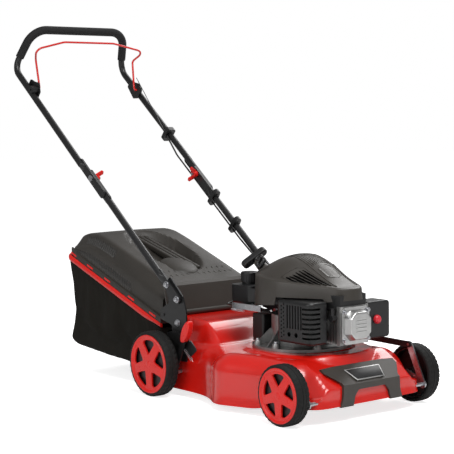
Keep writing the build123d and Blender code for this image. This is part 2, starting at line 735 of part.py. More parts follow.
# The cover's lower edge follows the tank and the cylinder, and its snout lets the starter cord out
snout_plane = Plane(origin=(252, -20, 356.8), z_dir=(0.835, 0, -0.55))
with BuildPart() as engine_shroud:
    add(shroud_volume(0))
    add(shroud_volume(3), mode=Mode.SUBTRACT)
    with BuildSketch(Plane.XZ):
        with BuildLine():
            Polyline((200, 200), (260, 252), (420, 266), (540, 278), (660, 290), (660, 200), close=True)
        make_face()
    extrude(amount=300, both=True, mode=Mode.SUBTRACT)
    with Locations((530, -112, 240)):
        Box(200, 100, 93, mode=Mode.SUBTRACT)
    with BuildSketch(snout_plane):
        Circle(12)
    extrude(amount=90, taper=-6)
    add(shroud_volume(3), mode=Mode.SUBTRACT)
    with BuildSketch(snout_plane):
        Circle(7.5)
    extrude(amount=60, mode=Mode.SUBTRACT)
save(engine_shroud, "engine_shroud")

with BuildPart() as control_bracket:
    with Locations((288, -70, 239.5)):
        Box(112, 44, 2.4)
    with Locations((288, -91, 246)):
        Box(112, 2.4, 15)
    with Locations((engine_x, 0, 240)):
        Cylinder(79, 40, mode=Mode.SUBTRACT)
    with Locations((300, -54, 236)):
        Cylinder(8, 4.6)
    with Locations((258, -74, 239.5)):
        Cylinder(3.05, 10, mode=Mode.SUBTRACT)
save(control_bracket, "control_bracket")

with BuildPart() as brake_lever:
    with Locations((258, -74, 240)):
        Cylinder(3, 8)
    with BuildSketch(Plane.XY.offset(241)):
        with Locations((258, -74)):
            Circle(8)
        with Locations((226, -66)):
            Circle(4)
        make_hull()
    extrude(amount=3)
save(brake_lever, "brake_lever")

with BuildPart() as brake_housing:
    with Locations((298, -34, 192)):
        Box(46, 56, 70)
    fillet(brake_housing.edges().filter_by(Axis.Z), radius=6)
    with Locations((engine_x, 0, 200)):
        Cylinder(78.1, 200, mode=Mode.SUBTRACT)
save(brake_housing, "brake_housing")

with BuildPart() as spark_plug_cap:
    with Locations((575.5, -57.2, 242)):
        Cylinder(7.5, 16, rotation=(90, 0, 0))
    with Locations((575.5, -60, 256)):
        Cylinder(4.5, 22)
save(spark_plug_cap, "spark_plug_cap")

# Starter grip, parked against the shroud, and the direction in which it is pulled
pull = Vector(-0.835, 0, 0.55).normalized()
grip_run = Vector(0.378, 0.73, 0.571).normalized()
grip_centre = Vector(238, -20, 366)
with BuildPart() as starter_grip:
    with BuildSketch(Plane(origin=grip_centre, x_dir=grip_run, z_dir=pull)):
        SlotOverall(76, 24)
    extrude(amount=9, both=True)
    fillet(starter_grip.edges().group_by(SortBy.LENGTH)[-1], radius=4)
    with BuildSketch(Plane(origin=grip_centre, z_dir=pull * -1)):
        Circle(7)
    extrude(amount=26)
save(starter_grip, "starter_grip")

# ---------------------------------------------------------------- turning parts inside
with BuildPart() as crankshaft:
    with Locations((engine_x, 0, 62)):
        Cylinder(crank_radius, 268, align=(Align.CENTER, Align.CENTER, Align.MIN))
    with Locations((engine_x, 0, engine_floor + 60)):
        Cylinder(44, 15, align=(Align.CENTER, Align.CENTER, Align.MIN))
save(crankshaft, "crankshaft")

with BuildPart() as flywheel:
    with Locations((engine_x, 0, 289)):
        Cylinder(92, 22, align=(Align.CENTER, Align.CENTER, Align.MIN))
    for turn in range(16):
        angle = 22.5 * turn
        fin_root = (engine_x + 72 * cos(radians(angle)), 72 * sin(radians(angle)), 310)
        with Locations(Location(fin_root, (0, 0, angle))):
            Box(34, 3, 18, align=(Align.CENTER, Align.CENTER, Align.MIN))
    with Locations((engine_x, 0, 300)):
        Cylinder(crank_radius + 0.02, 100, mode=Mode.SUBTRACT)
save(flywheel, "flywheel")

with BuildPart() as blade_adapter:
    with Locations((engine_x, 0, 38.1)):
        Cylinder(19, 46, align=(Align.CENTER, Align.CENTER, Align.MIN))
        Cylinder(30, 5, align=(Align.CENTER, Align.CENTER, Align.MIN))
    with Locations((engine_x, 0, 61.98)):
        Cylinder(crank_radius + 0.02, 60, align=(Align.CENTER, Align.CENTER, Align.MIN), mode=Mode.SUBTRACT)
    with Locations((engine_x, 0, 30)):
        Cylinder(5.1, 100, align=(Align.CENTER, Align.CENTER, Align.MIN), mode=Mode.SUBTRACT)
save(blade_adapter, "blade_adapter")

with BuildPart() as blade:
    with Locations((engine_x, 0, 36)):
        Box(2 * blade_radius - 4, 50, 4)
    for side in (-1, 1):
        with BuildSketch(Plane.YZ.offset(engine_x + side * 110)):
            with BuildLine():
                Polyline((side * -25, 38), (side * -25, 34), (side * -38, 47), (side * -38, 51), close=True)
            make_face()
        extrude(amount=side * 80)
    with Locations((engine_x, 0, 36)):
        Cylinder(5.1, 20, mode=Mode.SUBTRACT)
save(blade, "blade")

with BuildPart() as blade_bolt:
    with Locations((engine_x, 0, 25)):
        Cylinder(9, 6, align=(Align.CENTER, Align.CENTER, Align.MIN))
    with Locations((engine_x, 0, 31)):
        Cylinder(16, 2.95, align=(Align.CENTER, Align.CENTER, Align.MIN))
        Cylinder(5, 30.9, align=(Align.CENTER, Align.CENTER, Align.MIN))
save(blade_bolt, "blade_bolt")

# ---------------------------------------------------------------- rear flap
with BuildPart() as flap_rod:
    with Locations((flap_axis[0], 0, flap_axis[1])):
        Cylinder(4, 2 * bracket_y + 12, rotation=(90, 0, 0))
save(flap_rod, "flap_rod")

flap_half = 168.0
flap_top = (34.0, 290.0)
with BuildPart() as rear_flap:
    with BuildSketch(Plane.XZ):
        with BuildLine():
            Polyline((flap_axis[0] + 2, flap_axis[1] + 2), (flap_top[0] + 4, flap_top[1] - 6),
                     (flap_top[0] - 4, flap_top[1] + 2), (flap_top[0] - 8, flap_top[1] - 2),
                     (flap_top[0], flap_top[1] - 9), (flap_axis[0] - 2.4, flap_axis[1]), close=True)
        make_face()
        with Locations(flap_axis):
            Circle(7)
    extrude(amount=flap_half, both=True)
    with Locations((flap_axis[0], 0, flap_axis[1])):
        Cylinder(4 + running_gap, 500, rotation=(90, 0, 0), mode=Mode.SUBTRACT)
save(rear_flap, "rear_flap")

with BuildPart() as flap_springs:
    for side in (-1, 1):
        with Locations((flap_axis[0], side * (flap_half + 4.8), flap_axis[1])):
            Cylinder(8, 8, rotation=(90, 0, 0))
            Cylinder(4.02, 20, rotation=(90, 0, 0), mode=Mode.SUBTRACT)
save(flap_springs, "flap_springs")

# ---------------------------------------------------------------- grass box
lid_stations = [(lid_front_x, 286, 0), (-142, 346, 0), (-300, 401, 0), (-352, 406, 1), (-400, 386, 4),
                (lid_rear_x, 362, 9)]


def lid_section(x, top, draw_in, wall):
    low = trim_z(x) - wall
    high = top - wall
    wide = lid_half - draw_in - wall
    crown = min(38, 0.5 * (high - low))
    with BuildSketch(Plane.YZ.offset(x)) as section:
        with BuildLine():
            Polyline((-wide, low), (-wide, high - crown), (34 - wide, high), (wide - 34, high),
                     (wide, high - crown), (wide, low), close=True)
        make_face()
    return section.sketch


with BuildPart() as bag_lid:
    loft(sections=[lid_section(x, top, draw_in, 0) for x, top, draw_in in lid_stations])
    loft(sections=[lid_section(max(x, lid_rear_x + 3), top, draw_in, 3) for x, top, draw_in in lid_stations],
         mode=Mode.SUBTRACT)
save(bag_lid, "bag_lid")

trim_angle = atan2(trim_slope, 1)
trim_plane = Plane(origin=(lid_front_x, 0, trim_z_front), x_dir=(-cos(trim_angle), 0, sin(trim_angle)),
                   z_dir=(-sin(trim_angle), 0, -cos(trim_angle)))
trim_length = (lid_front_x - lid_rear_x) / cos(trim_angle)
with BuildPart() as bag_trim:
    with BuildSketch(trim_plane.offset(0.2)):
        with Locations(((trim_length + 5) / 2, 0)):
            Rectangle(trim_length + 5, 2 * lid_half + 8)
        with Locations(((trim_length - 4) / 2, 0)):
            Rectangle(trim_length - 4, 2 * lid_half - 6, mode=Mode.SUBTRACT)
    extrude(amount=11)
save(bag_trim, "bag_trim")

cloth_half = lid_half - 1.0
cloth_points = [(20, 170), (-424, 330), (-404, 262), (-399, 150), (-418, 104), (-392, 82), (-127, 62),
                (-20, 74), (20, 112)]


def cloth_volume(wall):
    with BuildPart() as volume:
        with BuildSketch(Plane.XZ) as side_view:
            with BuildLine():
                Polyline(*cloth_points, close=True)
            make_face()
            corners = side_view.vertices().filter_by_position(Axis.X, -430, -60)
            fillet(corners.filter_by_position(Axis.Y, 50, 300), radius=14)
            if wall:
                offset(amount=-wall)
        extrude(amount=cloth_half - wall, both=True)
    return volume.part


with BuildPart() as bag_fabric:
    add(cloth_volume(0))
    add(cloth_volume(cloth_wall), mode=Mode.SUBTRACT)
    with BuildSketch(Plane.XZ):
        with BuildLine():
            Polyline((14, 164), (-418, 320), (-418, 345), (14, 190), close=True)
        make_face()
    extrude(amount=cloth_half - cloth_wall, both=True, mode=Mode.SUBTRACT)
    with Locations((20, 0, 142)):
        Box(20, 290, 44, mode=Mode.SUBTRACT)
save(bag_fabric, "bag_fabric")

# ---------------------------------------------------------------- brake cable and its clips
cable_radius = 2.5
cable_y = 184.0
under_tube = Vector(-0.631, 0, -0.776)
joint_cable_x = mid_joint_x - 30


def beside_tube(x, y, drop):
    """A point that far below a handle tube's centre line, square to the tube."""
    return slope_point(x, y) + under_tube * drop


lower_cable_points = [
    beside_tube(joint_cable_x, cable_y, 16),
    beside_tube(-52, cable_y, 16),
    Vector(8, 165, 354),
    Vector(78, 158, 324),
    Vector(138, 108, 288),
    Vector(173, 26, 256),
    Vector(180, -70, 243),
    Vector(214, -74, 243),
]
with BuildPart() as brake_cable_lower:
    with BuildLine() as lower_route:
        FilletPolyline(*lower_cable_points, radius=[90, 60, 90, 70, 90, 16])
    first_run = lower_cable_points[1] - lower_cable_points[0]
    with BuildSketch(Plane(origin=lower_cable_points[0], z_dir=first_run)):
        Circle(cable_radius)
    sweep(path=lower_route.wires()[0])
save(brake_cable_lower, "brake_cable_lower")

ferrule = Vector(-455, 183, 744)
wire_hook = Vector(-560, 183, 868)
upper_cable_points = [
    ferrule,
    Vector(-440, 182.5, 725),
    beside_tube(-380, 182.5, 6),
    beside_tube(-345, cable_y, 16),
    beside_tube(joint_cable_x, cable_y, 16),
]
with BuildPart() as brake_cable_upper:
    with BuildLine() as upper_route:
        FilletPolyline(*upper_cable_points, radius=[60, 60, 60])
    with BuildSketch(Plane(origin=ferrule, z_dir=upper_cable_points[1] - ferrule)):
        Circle(cable_radius)
    sweep(path=upper_route.wires()[0])
    with BuildSketch(Plane(origin=ferrule, z_dir=wire_hook - ferrule)):
        Circle(3.4)
    extrude(amount=18)
    with BuildSketch(Plane(origin=ferrule, z_dir=wire_hook - ferrule)):
        Circle(1.1)
    extrude(amount=(wire_hook - ferrule).length - 5)
save(brake_cable_upper, "brake_cable_upper")

# Ties that hold the cable to the lower tube
with BuildPart() as cable_clips:
    for x in (-180, -86):
        centre = slope_point(x, lower_tube_y)
        with BuildSketch(Plane(origin=centre, x_dir=(0, 1, 0), z_dir=along)):
            with Locations((0, 0), (cable_y - lower_tube_y, -16), (cable_y - lower_tube_y, 16)):
                Circle(11.5)
            make_hull()
            Circle(tube_radius + 0.05, mode=Mode.SUBTRACT)
            with Locations((cable_y - lower_tube_y, -16), (cable_y - lower_tube_y, 16)):
                Circle(cable_radius + 0.05, mode=Mode.SUBTRACT)
        extrude(amount=6, both=True)
save(cable_clips, "cable_clips")
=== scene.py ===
import json
import math

import bmesh
import bpy
from mathutils import Matrix, Vector


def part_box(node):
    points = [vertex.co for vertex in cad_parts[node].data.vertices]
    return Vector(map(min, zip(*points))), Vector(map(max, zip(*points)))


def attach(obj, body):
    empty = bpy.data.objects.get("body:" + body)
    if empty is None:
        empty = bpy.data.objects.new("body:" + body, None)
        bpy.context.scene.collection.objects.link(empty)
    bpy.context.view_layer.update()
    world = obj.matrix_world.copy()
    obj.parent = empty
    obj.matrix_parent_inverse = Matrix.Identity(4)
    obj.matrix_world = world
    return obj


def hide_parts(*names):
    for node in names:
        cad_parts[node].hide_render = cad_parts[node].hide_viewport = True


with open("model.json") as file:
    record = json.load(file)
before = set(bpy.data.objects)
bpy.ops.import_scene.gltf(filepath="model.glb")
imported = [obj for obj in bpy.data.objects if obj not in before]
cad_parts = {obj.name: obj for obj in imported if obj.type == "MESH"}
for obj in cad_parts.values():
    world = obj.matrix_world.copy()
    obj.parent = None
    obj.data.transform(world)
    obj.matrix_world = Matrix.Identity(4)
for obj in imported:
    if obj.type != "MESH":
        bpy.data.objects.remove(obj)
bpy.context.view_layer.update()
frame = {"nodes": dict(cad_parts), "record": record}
nodes = frame["nodes"]
mm = 0.001

# camera, floor and light
camera = {"place": (3.08207, -2.45725, 0.73251), "target": (0.1023, 0.0, 0.4393), "roll": -0.70, "lens": 112.91,
          "sensorMm": 36, "farClip": 50}


def makeCamera():
    place = Vector(camera["place"])
    forward = (Vector(camera["target"]) - place).normalized()
    right = forward.cross(Vector((0, 0, 1))).normalized()
    up = right.cross(forward)
    roll = math.radians(camera["roll"])
    tiltedRight = right * math.cos(roll) + up * math.sin(roll)
    tiltedUp = up * math.cos(roll) - right * math.sin(roll)
    turn = Matrix((tiltedRight, tiltedUp, -forward)).transposed()
    data = bpy.data.cameras.new("camera")
    data.lens = camera["lens"]
    data.sensor_width = camera["sensorMm"]
    data.clip_end = camera["farClip"]
    eye = bpy.data.objects.new("camera", data)
    eye.matrix_world = Matrix.Translation(place) @ turn.to_4x4()
    bpy.context.collection.objects.link(eye)
    bpy.context.scene.camera = eye


studio = {"floorSize": 40, "floorColour": "#F4F4F4", "floorRoughness": 0.9, "worldStrength": 0.30, "floorGlow": 0.75,
          "aim": (0.1, 0, 0.35),  # each light: place, size, power
          "lights": [((2.0, -0.6, 3.2), 1.6, 95), ((0.6, -3.2, 1.6), 1.4, 26), ((-0.8, 2.6, 2.6), 2.0, 55)]}


def linear(hexColour):
    channels = [int(hexColour[i:i + 2], 16) / 255 for i in (1, 3, 5)]
    return tuple(c / 12.92 if c <= 0.04045 else ((c + 0.055) / 1.055) ** 2.4 for c in channels) + (1.0,)


def addNode(material, kind, sockets=None, **settings):
    node = material.node_tree.nodes.new(kind)  # sockets: name or number to a value, or to (node, output)
    for name, value in settings.items():
        setattr(node, name, value)
    for name, value in (sockets or {}).items():
        if isinstance(value, tuple) and isinstance(value[0], bpy.types.Node):
            material.node_tree.links.new(value[0].outputs[value[1]], node.inputs[name])
        else:
            node.inputs[name].default_value = value
    return node


def makeStudio():
    world = bpy.data.worlds.new("studio")
    bpy.context.scene.world = world
    world.use_nodes = True
    tree = world.node_tree
    soft = tree.nodes["Background"]
    soft.inputs[1].default_value = studio["worldStrength"]
    soft.inputs[0].default_value = (1, 1, 1, 1)
    bright = tree.nodes.new("ShaderNodeBackground")
    bright.inputs[0].default_value = (1, 1, 1, 1)
    seen = tree.nodes.new("ShaderNodeLightPath")
    either = tree.nodes.new("ShaderNodeMixShader")
    tree.links.new(seen.outputs["Is Camera Ray"], either.inputs[0])
    tree.links.new(soft.outputs[0], either.inputs[1])
    tree.links.new(bright.outputs[0], either.inputs[2])
    tree.links.new(either.outputs[0], tree.nodes["World Output"].inputs[0])
    bpy.ops.mesh.primitive_plane_add(size=studio["floorSize"])
    floor = bpy.context.object
    floor.name = "floor"
    paper = bpy.data.materials.new("backdrop paper")
    paper.use_nodes = True
    surface = paper.node_tree.nodes["Principled BSDF"]
    surface.inputs["Base Color"].default_value = linear(studio["floorColour"])
    surface.inputs["Roughness"].default_value = studio["floorRoughness"]
    surface.inputs["Emission Color"].default_value = (1, 1, 1, 1)
    # the glow is for the view only: it adds no light to the mower
    watched = addNode(paper, "ShaderNodeLightPath")
    glow = addNode(paper, "ShaderNodeMath", {0: (watched, "Is Camera Ray"), 1: studio["floorGlow"]},
                   operation="MULTIPLY")
    paper.node_tree.links.new(glow.outputs[0], surface.inputs["Emission Strength"])
    floor.data.materials.append(paper)
    for place, size, power in studio["lights"]:
        data = bpy.data.lights.new("softbox", "AREA")
        data.size = size
        data.energy = power
        lamp = bpy.data.objects.new("softbox", data)
        lamp.location = place
        lamp.rotation_euler = (Vector(studio["aim"]) - Vector(place)).to_track_quat("-Z", "Y").to_euler()
        bpy.context.collection.objects.link(lamp)


bpy.context.scene.view_settings.view_transform = "Standard"
makeCamera()
makeStudio()
print("camera and studio ready")

# finishes


def newFinish(name, colour, roughness, metallic=0.0, sockets=None):
    material = bpy.data.materials.new(name)
    material.use_nodes = True
    surface = material.node_tree.nodes["Principled BSDF"]
    surface.inputs["Base Color"].default_value = linear(colour)
    surface.inputs["Roughness"].default_value = roughness
    surface.inputs["Metallic"].default_value = metallic
    for socket, value in (sockets or {}).items():
        surface.inputs[socket].default_value = value
    return material


def addGrain(material, sizeMm, depthMm, detail=2.0, roughness=None, colours=None, stretch=(1, 1, 1)):
    surface = material.node_tree.nodes["Principled BSDF"]
    where = addNode(material, "ShaderNodeTexCoord")
    placed = addNode(material, "ShaderNodeMapping", {"Vector": (where, "Object"), "Scale": stretch})
    noise = addNode(material, "ShaderNodeTexNoise",
                    {"Vector": (placed, 0), "Scale": 1 / (sizeMm * mm), "Detail": detail, "Roughness": 0.55})
    if depthMm:
        bump = addNode(material, "ShaderNodeBump", {"Height": (noise, 0), "Strength": 1.0, "Distance": depthMm * mm})
        material.node_tree.links.new(bump.outputs[0], surface.inputs["Normal"])
    if roughness:
        # the noise runs from about 0.3 to 0.7
        spread = addNode(material, "ShaderNodeMapRange",
                         {0: (noise, 0), 1: 0.3, 2: 0.7, 3: roughness[0], 4: roughness[1]})
        material.node_tree.links.new(spread.outputs[0], surface.inputs["Roughness"])
    if colours:
        wear = addNode(material, "ShaderNodeTexNoise",
                       {"Vector": (placed, 0), "Scale": 1 / (colours[2] * mm), "Detail": 4.0})
        mixed = addNode(material, "ShaderNodeMix", {0: (wear, 0), 6: linear(colours[0]), 7: linear(colours[1])},
                        data_type="RGBA")
        material.node_tree.links.new(mixed.outputs[2], surface.inputs["Base Color"])
    return material


# Stove enamel on pressed steel: deep wet gloss with a faint orange peel
redEnamel = addGrain(newFinish("red stove enamel", "#D01A10", 0.24, 0.0, {"Coat Weight": 0.45, "Coat Roughness": 0.05}),
                     9, 0.02, 1.0, None, ("#D31B11", "#C2140C", 120))
# Glossy moulded ABS: even colour, slightly softer highlight than enamel
redAbs = addGrain(newFinish("red moulded ABS", "#DB1F19", 0.30, 0.0, {"Specular IOR Level": 0.4}), 3, 0.01, 2.0,
                  (0.26, 0.36), ("#DE221B", "#CF1A15", 60))
# Powder coat on steel tube: satin black with a fine pebble
tubeCoat = addGrain(newFinish("black powder coat", "#111112", 0.38), 1.6, 0.03, 2.0, (0.32, 0.46),
                    ("#131314", "#0D0D0E", 40))
# Spark-eroded ABS cowl: soft sheen, warm dark grey with fine grain
cowlAbs = addGrain(newFinish("grained ABS cowl", "#36322D", 0.36), 1.2, 0.04, 3.0, (0.36, 0.50),
                   ("#393530", "#2F2B27", 80))
# Textured polypropylene lid: duller and coarser than the cowl
lidPolypropylene = addGrain(newFinish("textured polypropylene", "#322E29", 0.42), 2.0, 0.06, 3.0, (0.42, 0.58),
                            ("#35312C", "#2B2824", 60))


def paintGrooveShade(material, colour, most):
    # painted shade: the colour is mixed towards near black by how deep each point lies between two ribs, so grooves
    # look darker than the tops of the ribs
    surface = material.node_tree.nodes["Principled BSDF"]
    before = surface.inputs["Base Color"].links[0].from_node
    depth = addNode(material, "ShaderNodeAttribute", attribute_name="groove")
    share = addNode(material, "ShaderNodeMath", {0: (depth, "Fac"), 1: most}, operation="MULTIPLY")
    mixed = addNode(material, "ShaderNodeMix", {0: (share, 0), 6: (before, 2), 7: linear(colour)}, data_type="RGBA")
    material.node_tree.links.new(mixed.outputs[2], surface.inputs["Base Color"])


# painted shade: near black in the lid's grooves, at full strength where they are deepest
paintGrooveShade(lidPolypropylene, "#050505", 1.0)
# Plain polypropylene: black small mouldings
blackPlastic = addGrain(newFinish("black polypropylene", "#121213", 0.38), 1.5, 0.03, 2.0, (0.34, 0.48),
                        ("#141415", "#0E0E0F", 40))
# Moulded tyre rubber: dry, slightly dusty black
tyreRubber = addGrain(newFinish("moulded tyre rubber", "#171614", 0.70, 0.0, {"Specular IOR Level": 0.3}), 2.5, 0.05,
                      3.0, (0.62, 0.82), ("#171716", "#0F0F0F", 30))
# Zinc-plated steel: bright with drawn streaks
zincPlate = addGrain(newFinish("zinc plate", "#B9BABD", 0.30, 1.0), 1.5, 0.01, 2.0, (0.24, 0.42),
                     ("#C2C3C6", "#A5A6AA", 25), (1, 1, 0.25))
# Die-cast aluminium: grey, granular, no polish
castAluminium = addGrain(newFinish("die-cast aluminium", "#9C9C9B", 0.45, 1.0), 1.4, 0.07, 3.0, (0.38, 0.60),
                         ("#A6A6A5", "#838382", 18))
silverCast = addGrain(newFinish("machined cast aluminium", "#C9C9C8", 0.34, 1.0), 1.2, 0.05, 3.0, (0.28, 0.46),
                      ("#D0D0CF", "#B4B4B3", 20))
# Closed-cell foam: matt with open pores
foamRubber = addGrain(newFinish("closed-cell foam", "#0F0F10", 0.85), 1.1, 0.15, 3.0, (0.78, 0.95),
                      ("#151516", "#0B0B0C", 12))
# Woven polyester of the grass bag
bagPolyester = addGrain(newFinish("woven polyester", "#1D1B18", 0.85, 0.0, {"Specular IOR Level": 0.12}), 2.0, 0.1,
                        2.0, None, ("#211F1B", "#181613", 90))
# Silicone primer bulb: soft, a little light through it
primerSilicone = addGrain(newFinish("silicone rubber", "#D8303C", 0.35, 0.0, {"Subsurface Weight": 0.2}), 2, 0.01)
# Extruded PVC jacket
cableJacket = addGrain(newFinish("extruded PVC jacket", "#141415", 0.42), 1.0, 0.02)
# Ground spring steel and raw iron of the turning parts
bladeSteel = addGrain(newFinish("ground spring steel", "#7C7C7E", 0.36, 1.0), 1.5, 0.02, 3.0, (0.30, 0.5),
                      ("#85858A", "#6A6A6C", 20))
castIron = addGrain(newFinish("raw cast iron", "#3A3A3A", 0.6, 1.0), 1.5, 0.08, 3.0, (0.5, 0.7),
                    ("#414140", "#2E2E2E", 20))

# Painted shade: a flat near-black strip over each louvre stands for the shade inside its slot
louvreShadePaint = addGrain(newFinish("painted louvre shade", "#040404", 0.95, 0.0, {"Specular IOR Level": 0.05}),
                    1.5, 0.02)

finishes = {
    "red_paint": redEnamel, "red_plastic": redAbs, "black_paint": tubeCoat, "shroud_plastic": cowlAbs,
    "lid_plastic": lidPolypropylene, "dark_plastic": blackPlastic, "tyre": tyreRubber, "zinc": zincPlate,
    "cast": castAluminium, "silver_paint": silverCast, "foam": foamRubber, "cloth": bagPolyester,
    "primer": primerSilicone, "cable": cableJacket, "blade_steel": bladeSteel, "iron": castIron,
}
slotOf = {part["node"]: part["material_slot"] for part in frame["record"]["subparts"]}
for name, node in nodes.items():
    node.data.materials.clear()
    node.data.materials.append(finishes[slotOf[name]])
print("finishes on", len(nodes), "CAD nodes")

# modelling: what the pieces below share


def deselectAll():
    if bpy.context.object and bpy.context.object.mode == "EDIT":
        bpy.ops.object.mode_set(mode="OBJECT")
    bpy.ops.object.select_all(action="DESELECT")


def startEdit(mode="FACE"):
    bpy.ops.object.mode_set(mode="EDIT")
    bpy.ops.mesh.select_mode(type=mode)
    bpy.ops.mesh.select_all(action="DESELECT")


def pick(test, kind="faces"):
    mesh = bpy.context.object.data
    form = bmesh.from_edit_mesh(mesh)
    for part in getattr(form, kind):
        part.select = bool(test(part))
    form.select_flush_mode()
    bmesh.update_edit_mesh(mesh)


def endEdit():
    bpy.ops.object.mode_set(mode="OBJECT")


def settle(piece):
    deselectAll()
    piece.select_set(True)
    bpy.context.view_layer.objects.active = piece
    bpy.ops.object.transform_apply(location=True, rotation=True, scale=True)


def addModifier(piece, kind, **settings):
    modifier = piece.modifiers.new(kind.lower(), kind)
    for name, value in settings.items():
        setattr(modifier, name, value)
    bpy.context.view_layer.objects.active = piece
    bpy.ops.object.modifier_apply(modifier=modifier.name)


def smooth(piece, angle=35):
    deselectAll()
    piece.select_set(True)
    bpy.context.view_layer.objects.active = piece
    bpy.ops.object.shade_smooth_by_angle(angle=math.radians(angle))


def finishPiece(name, body, material, replaced=(), angle=35):
    piece = bpy.context.object
    piece.name = name
    piece.data.name = name
    settle(piece)
    piece.data.materials.clear()
    piece.data.materials.append(material)
    smooth(piece, angle)
    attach(piece, body)
    if replaced:
        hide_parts(*replaced)
    return piece


def middle(node):
    low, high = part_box(node)
    return (Vector(low) + Vector(high)) / 2


def joinPieces(pieces):
    deselectAll()
    for piece in pieces:
        piece.select_set(True)
    bpy.context.view_layer.objects.active = pieces[0]
    bpy.ops.object.join()
    return pieces[0]


def nameJoined(pieces, name, body, material):
    joinPieces(pieces)
    return finishPiece(name, body, material)


def addPiece(name, data):
    piece = bpy.data.objects.new(name, data)
    bpy.context.collection.objects.link(piece)
    bpy.context.view_layer.objects.active = piece
    return piece


def addMesh(name, form):
    mesh = bpy.data.meshes.new(name)
    form.to_mesh(mesh)
    form.free()
    return addPiece(name, mesh)


def skin(form, rows, around=True):
    # faces between each row of points and the next; around: every row closes on itself
    count = len(rows[0])
    for a, b in zip(rows, rows[1:]):
        for k in range(count if around else count - 1):
            form.faces.new((a[k], a[(k + 1) % count], b[(k + 1) % count], b[k]))


def faceUp(form):
    bmesh.ops.recalc_face_normals(form, faces=form.faces)
    if sum(f.normal.z * f.calc_area() for f in form.faces) < 0:
        bmesh.ops.reverse_faces(form, faces=form.faces)


def turnTo(facing):
    # the turn that lays the z axis along facing
    return Vector((0, 0, 1)).rotation_difference(Vector(facing).normalized()).to_matrix().to_4x4()


bothSides = ((-1, "Right"), (1, "Left"))


# tyres: a rounded block tread with slanted sipes; the section gives places across the width and mm below the tread
tyres = {"blocks": 36, "grooveMm": 1.6, "hole": 0.895, "slant": 0.16, "channels": (-0.10, 0.14), "sipesFrom": 0.16,
         "section": [(-0.5, 5), (-0.46, 2), (-0.38, 0.4), (-0.14, 0), (-0.10, 0), (-0.06, 0), (0.10, 0), (0.14, 0),
                     (0.18, 0), (0.38, 0.4), (0.46, 2), (0.5, 5)]}


def makeTyre(node, body):
    low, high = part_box(node)
    centre = middle(node)
    radius = (high[0] - low[0]) / 2
    width = high[1] - low[1]
    hole = radius * tyres["hole"]
    section = [(across, radius - drop * mm) for across, drop in tyres["section"]]
    count = tyres["blocks"] * 4
    form = bmesh.new()
    rows = []
    for across, ringRadius in [(-0.5, hole)] + section + [(0.5, hole)]:
        slant = across * tyres["slant"] * (1 if abs(across) < 0.45 else 0.9)
        sipes = abs(across) > tyres["sipesFrom"] and ringRadius > radius - 3 * mm
        row = []
        for i in range(count):
            angle = 2 * math.pi * i / count + slant
            inGroove = across in tyres["channels"] or (sipes and i % 4 == 0)
            r = ringRadius - (tyres["grooveMm"] * mm if inGroove else 0)
            row.append(form.verts.new((centre.x + r * math.cos(angle), centre.y + across * width,
                                       centre.z + r * math.sin(angle))))
        rows.append(row)
    skin(form, rows + rows[:1])
    bmesh.ops.recalc_face_normals(form, faces=form.faces)
    addMesh(node + "_tread", form)
    return finishPiece(node + "_tread", body, tyreRubber, [node], 28)


wheelBodies = {"front_left": "front_left_wheel", "front_right": "front_right_wheel",
               "rear_left": "rear_left_wheel", "rear_right": "rear_right_wheel"}
for end, body in wheelBodies.items():
    makeTyre("tyre_" + end, body)
print("tyres done")

# wheels: a red disc with five spokes between rounded windows, over a black barrel, web and boss, with a low cap
hubs = {"spokes": 5, "around": 120, "rings": 26, "boreMm": 7, "discMm": 6, "windowInner": 0.33, "windowOuter": 0.81,
        "windowFoot": 0.02, "windowHalf": 0.335, "windowCorner": 0.12, "barrel": (0.94, 29, 22), "web": (0.93, 15),
        "bossMm": (14, 28, 20), "capMm": (9.5, 4.6, 3.0)}  # radius, depth, and how far its middle lies behind the face


def faceDrop(share):
    # mm by which the disc lies inside its face: a lip, a shallow gutter, then a domed centre
    if share > 0.965:
        return 0.3
    if share > 0.90:
        return 1.2
    return 3.0 - 2.4 * math.cos(min(1, share / 0.9) * math.pi / 2)


def inWindow(r, angle, radius):
    inner, outer = hubs["windowInner"] * radius, hubs["windowOuter"] * radius
    if not inner < r < outer:
        return False
    spoke = 2 * math.pi / hubs["spokes"]
    local = (angle - math.pi / 2 + spoke / 2) % spoke - spoke / 2
    share = (r - inner) / (outer - inner)
    half = radius * (hubs["windowFoot"] + hubs["windowHalf"] * share)
    corner = hubs["windowCorner"]
    if share > 1 - corner:
        half *= math.sqrt(max(0, 1 - ((share - 1 + corner) / corner) ** 2)) * 0.25 + 0.75
    return abs(local) * r < half


def softenWindows(form, centre, radius):
    inner, outer = hubs["windowInner"] * radius * 0.9, hubs["windowOuter"] * radius * 1.06
    edge = [v for v in form.verts if any(e.is_boundary for e in v.link_edges)
            and inner < Vector((v.co.x - centre.x, v.co.z - centre.z)).length < outer]
    moves = {}
    for v in edge:
        near = [e.other_vert(v).co for e in v.link_edges if e.is_boundary]
        if len(near) == 2:
            moves[v] = v.co * 0.4 + (near[0] + near[1]) * 0.3
    for v, place in moves.items():
        v.co = place


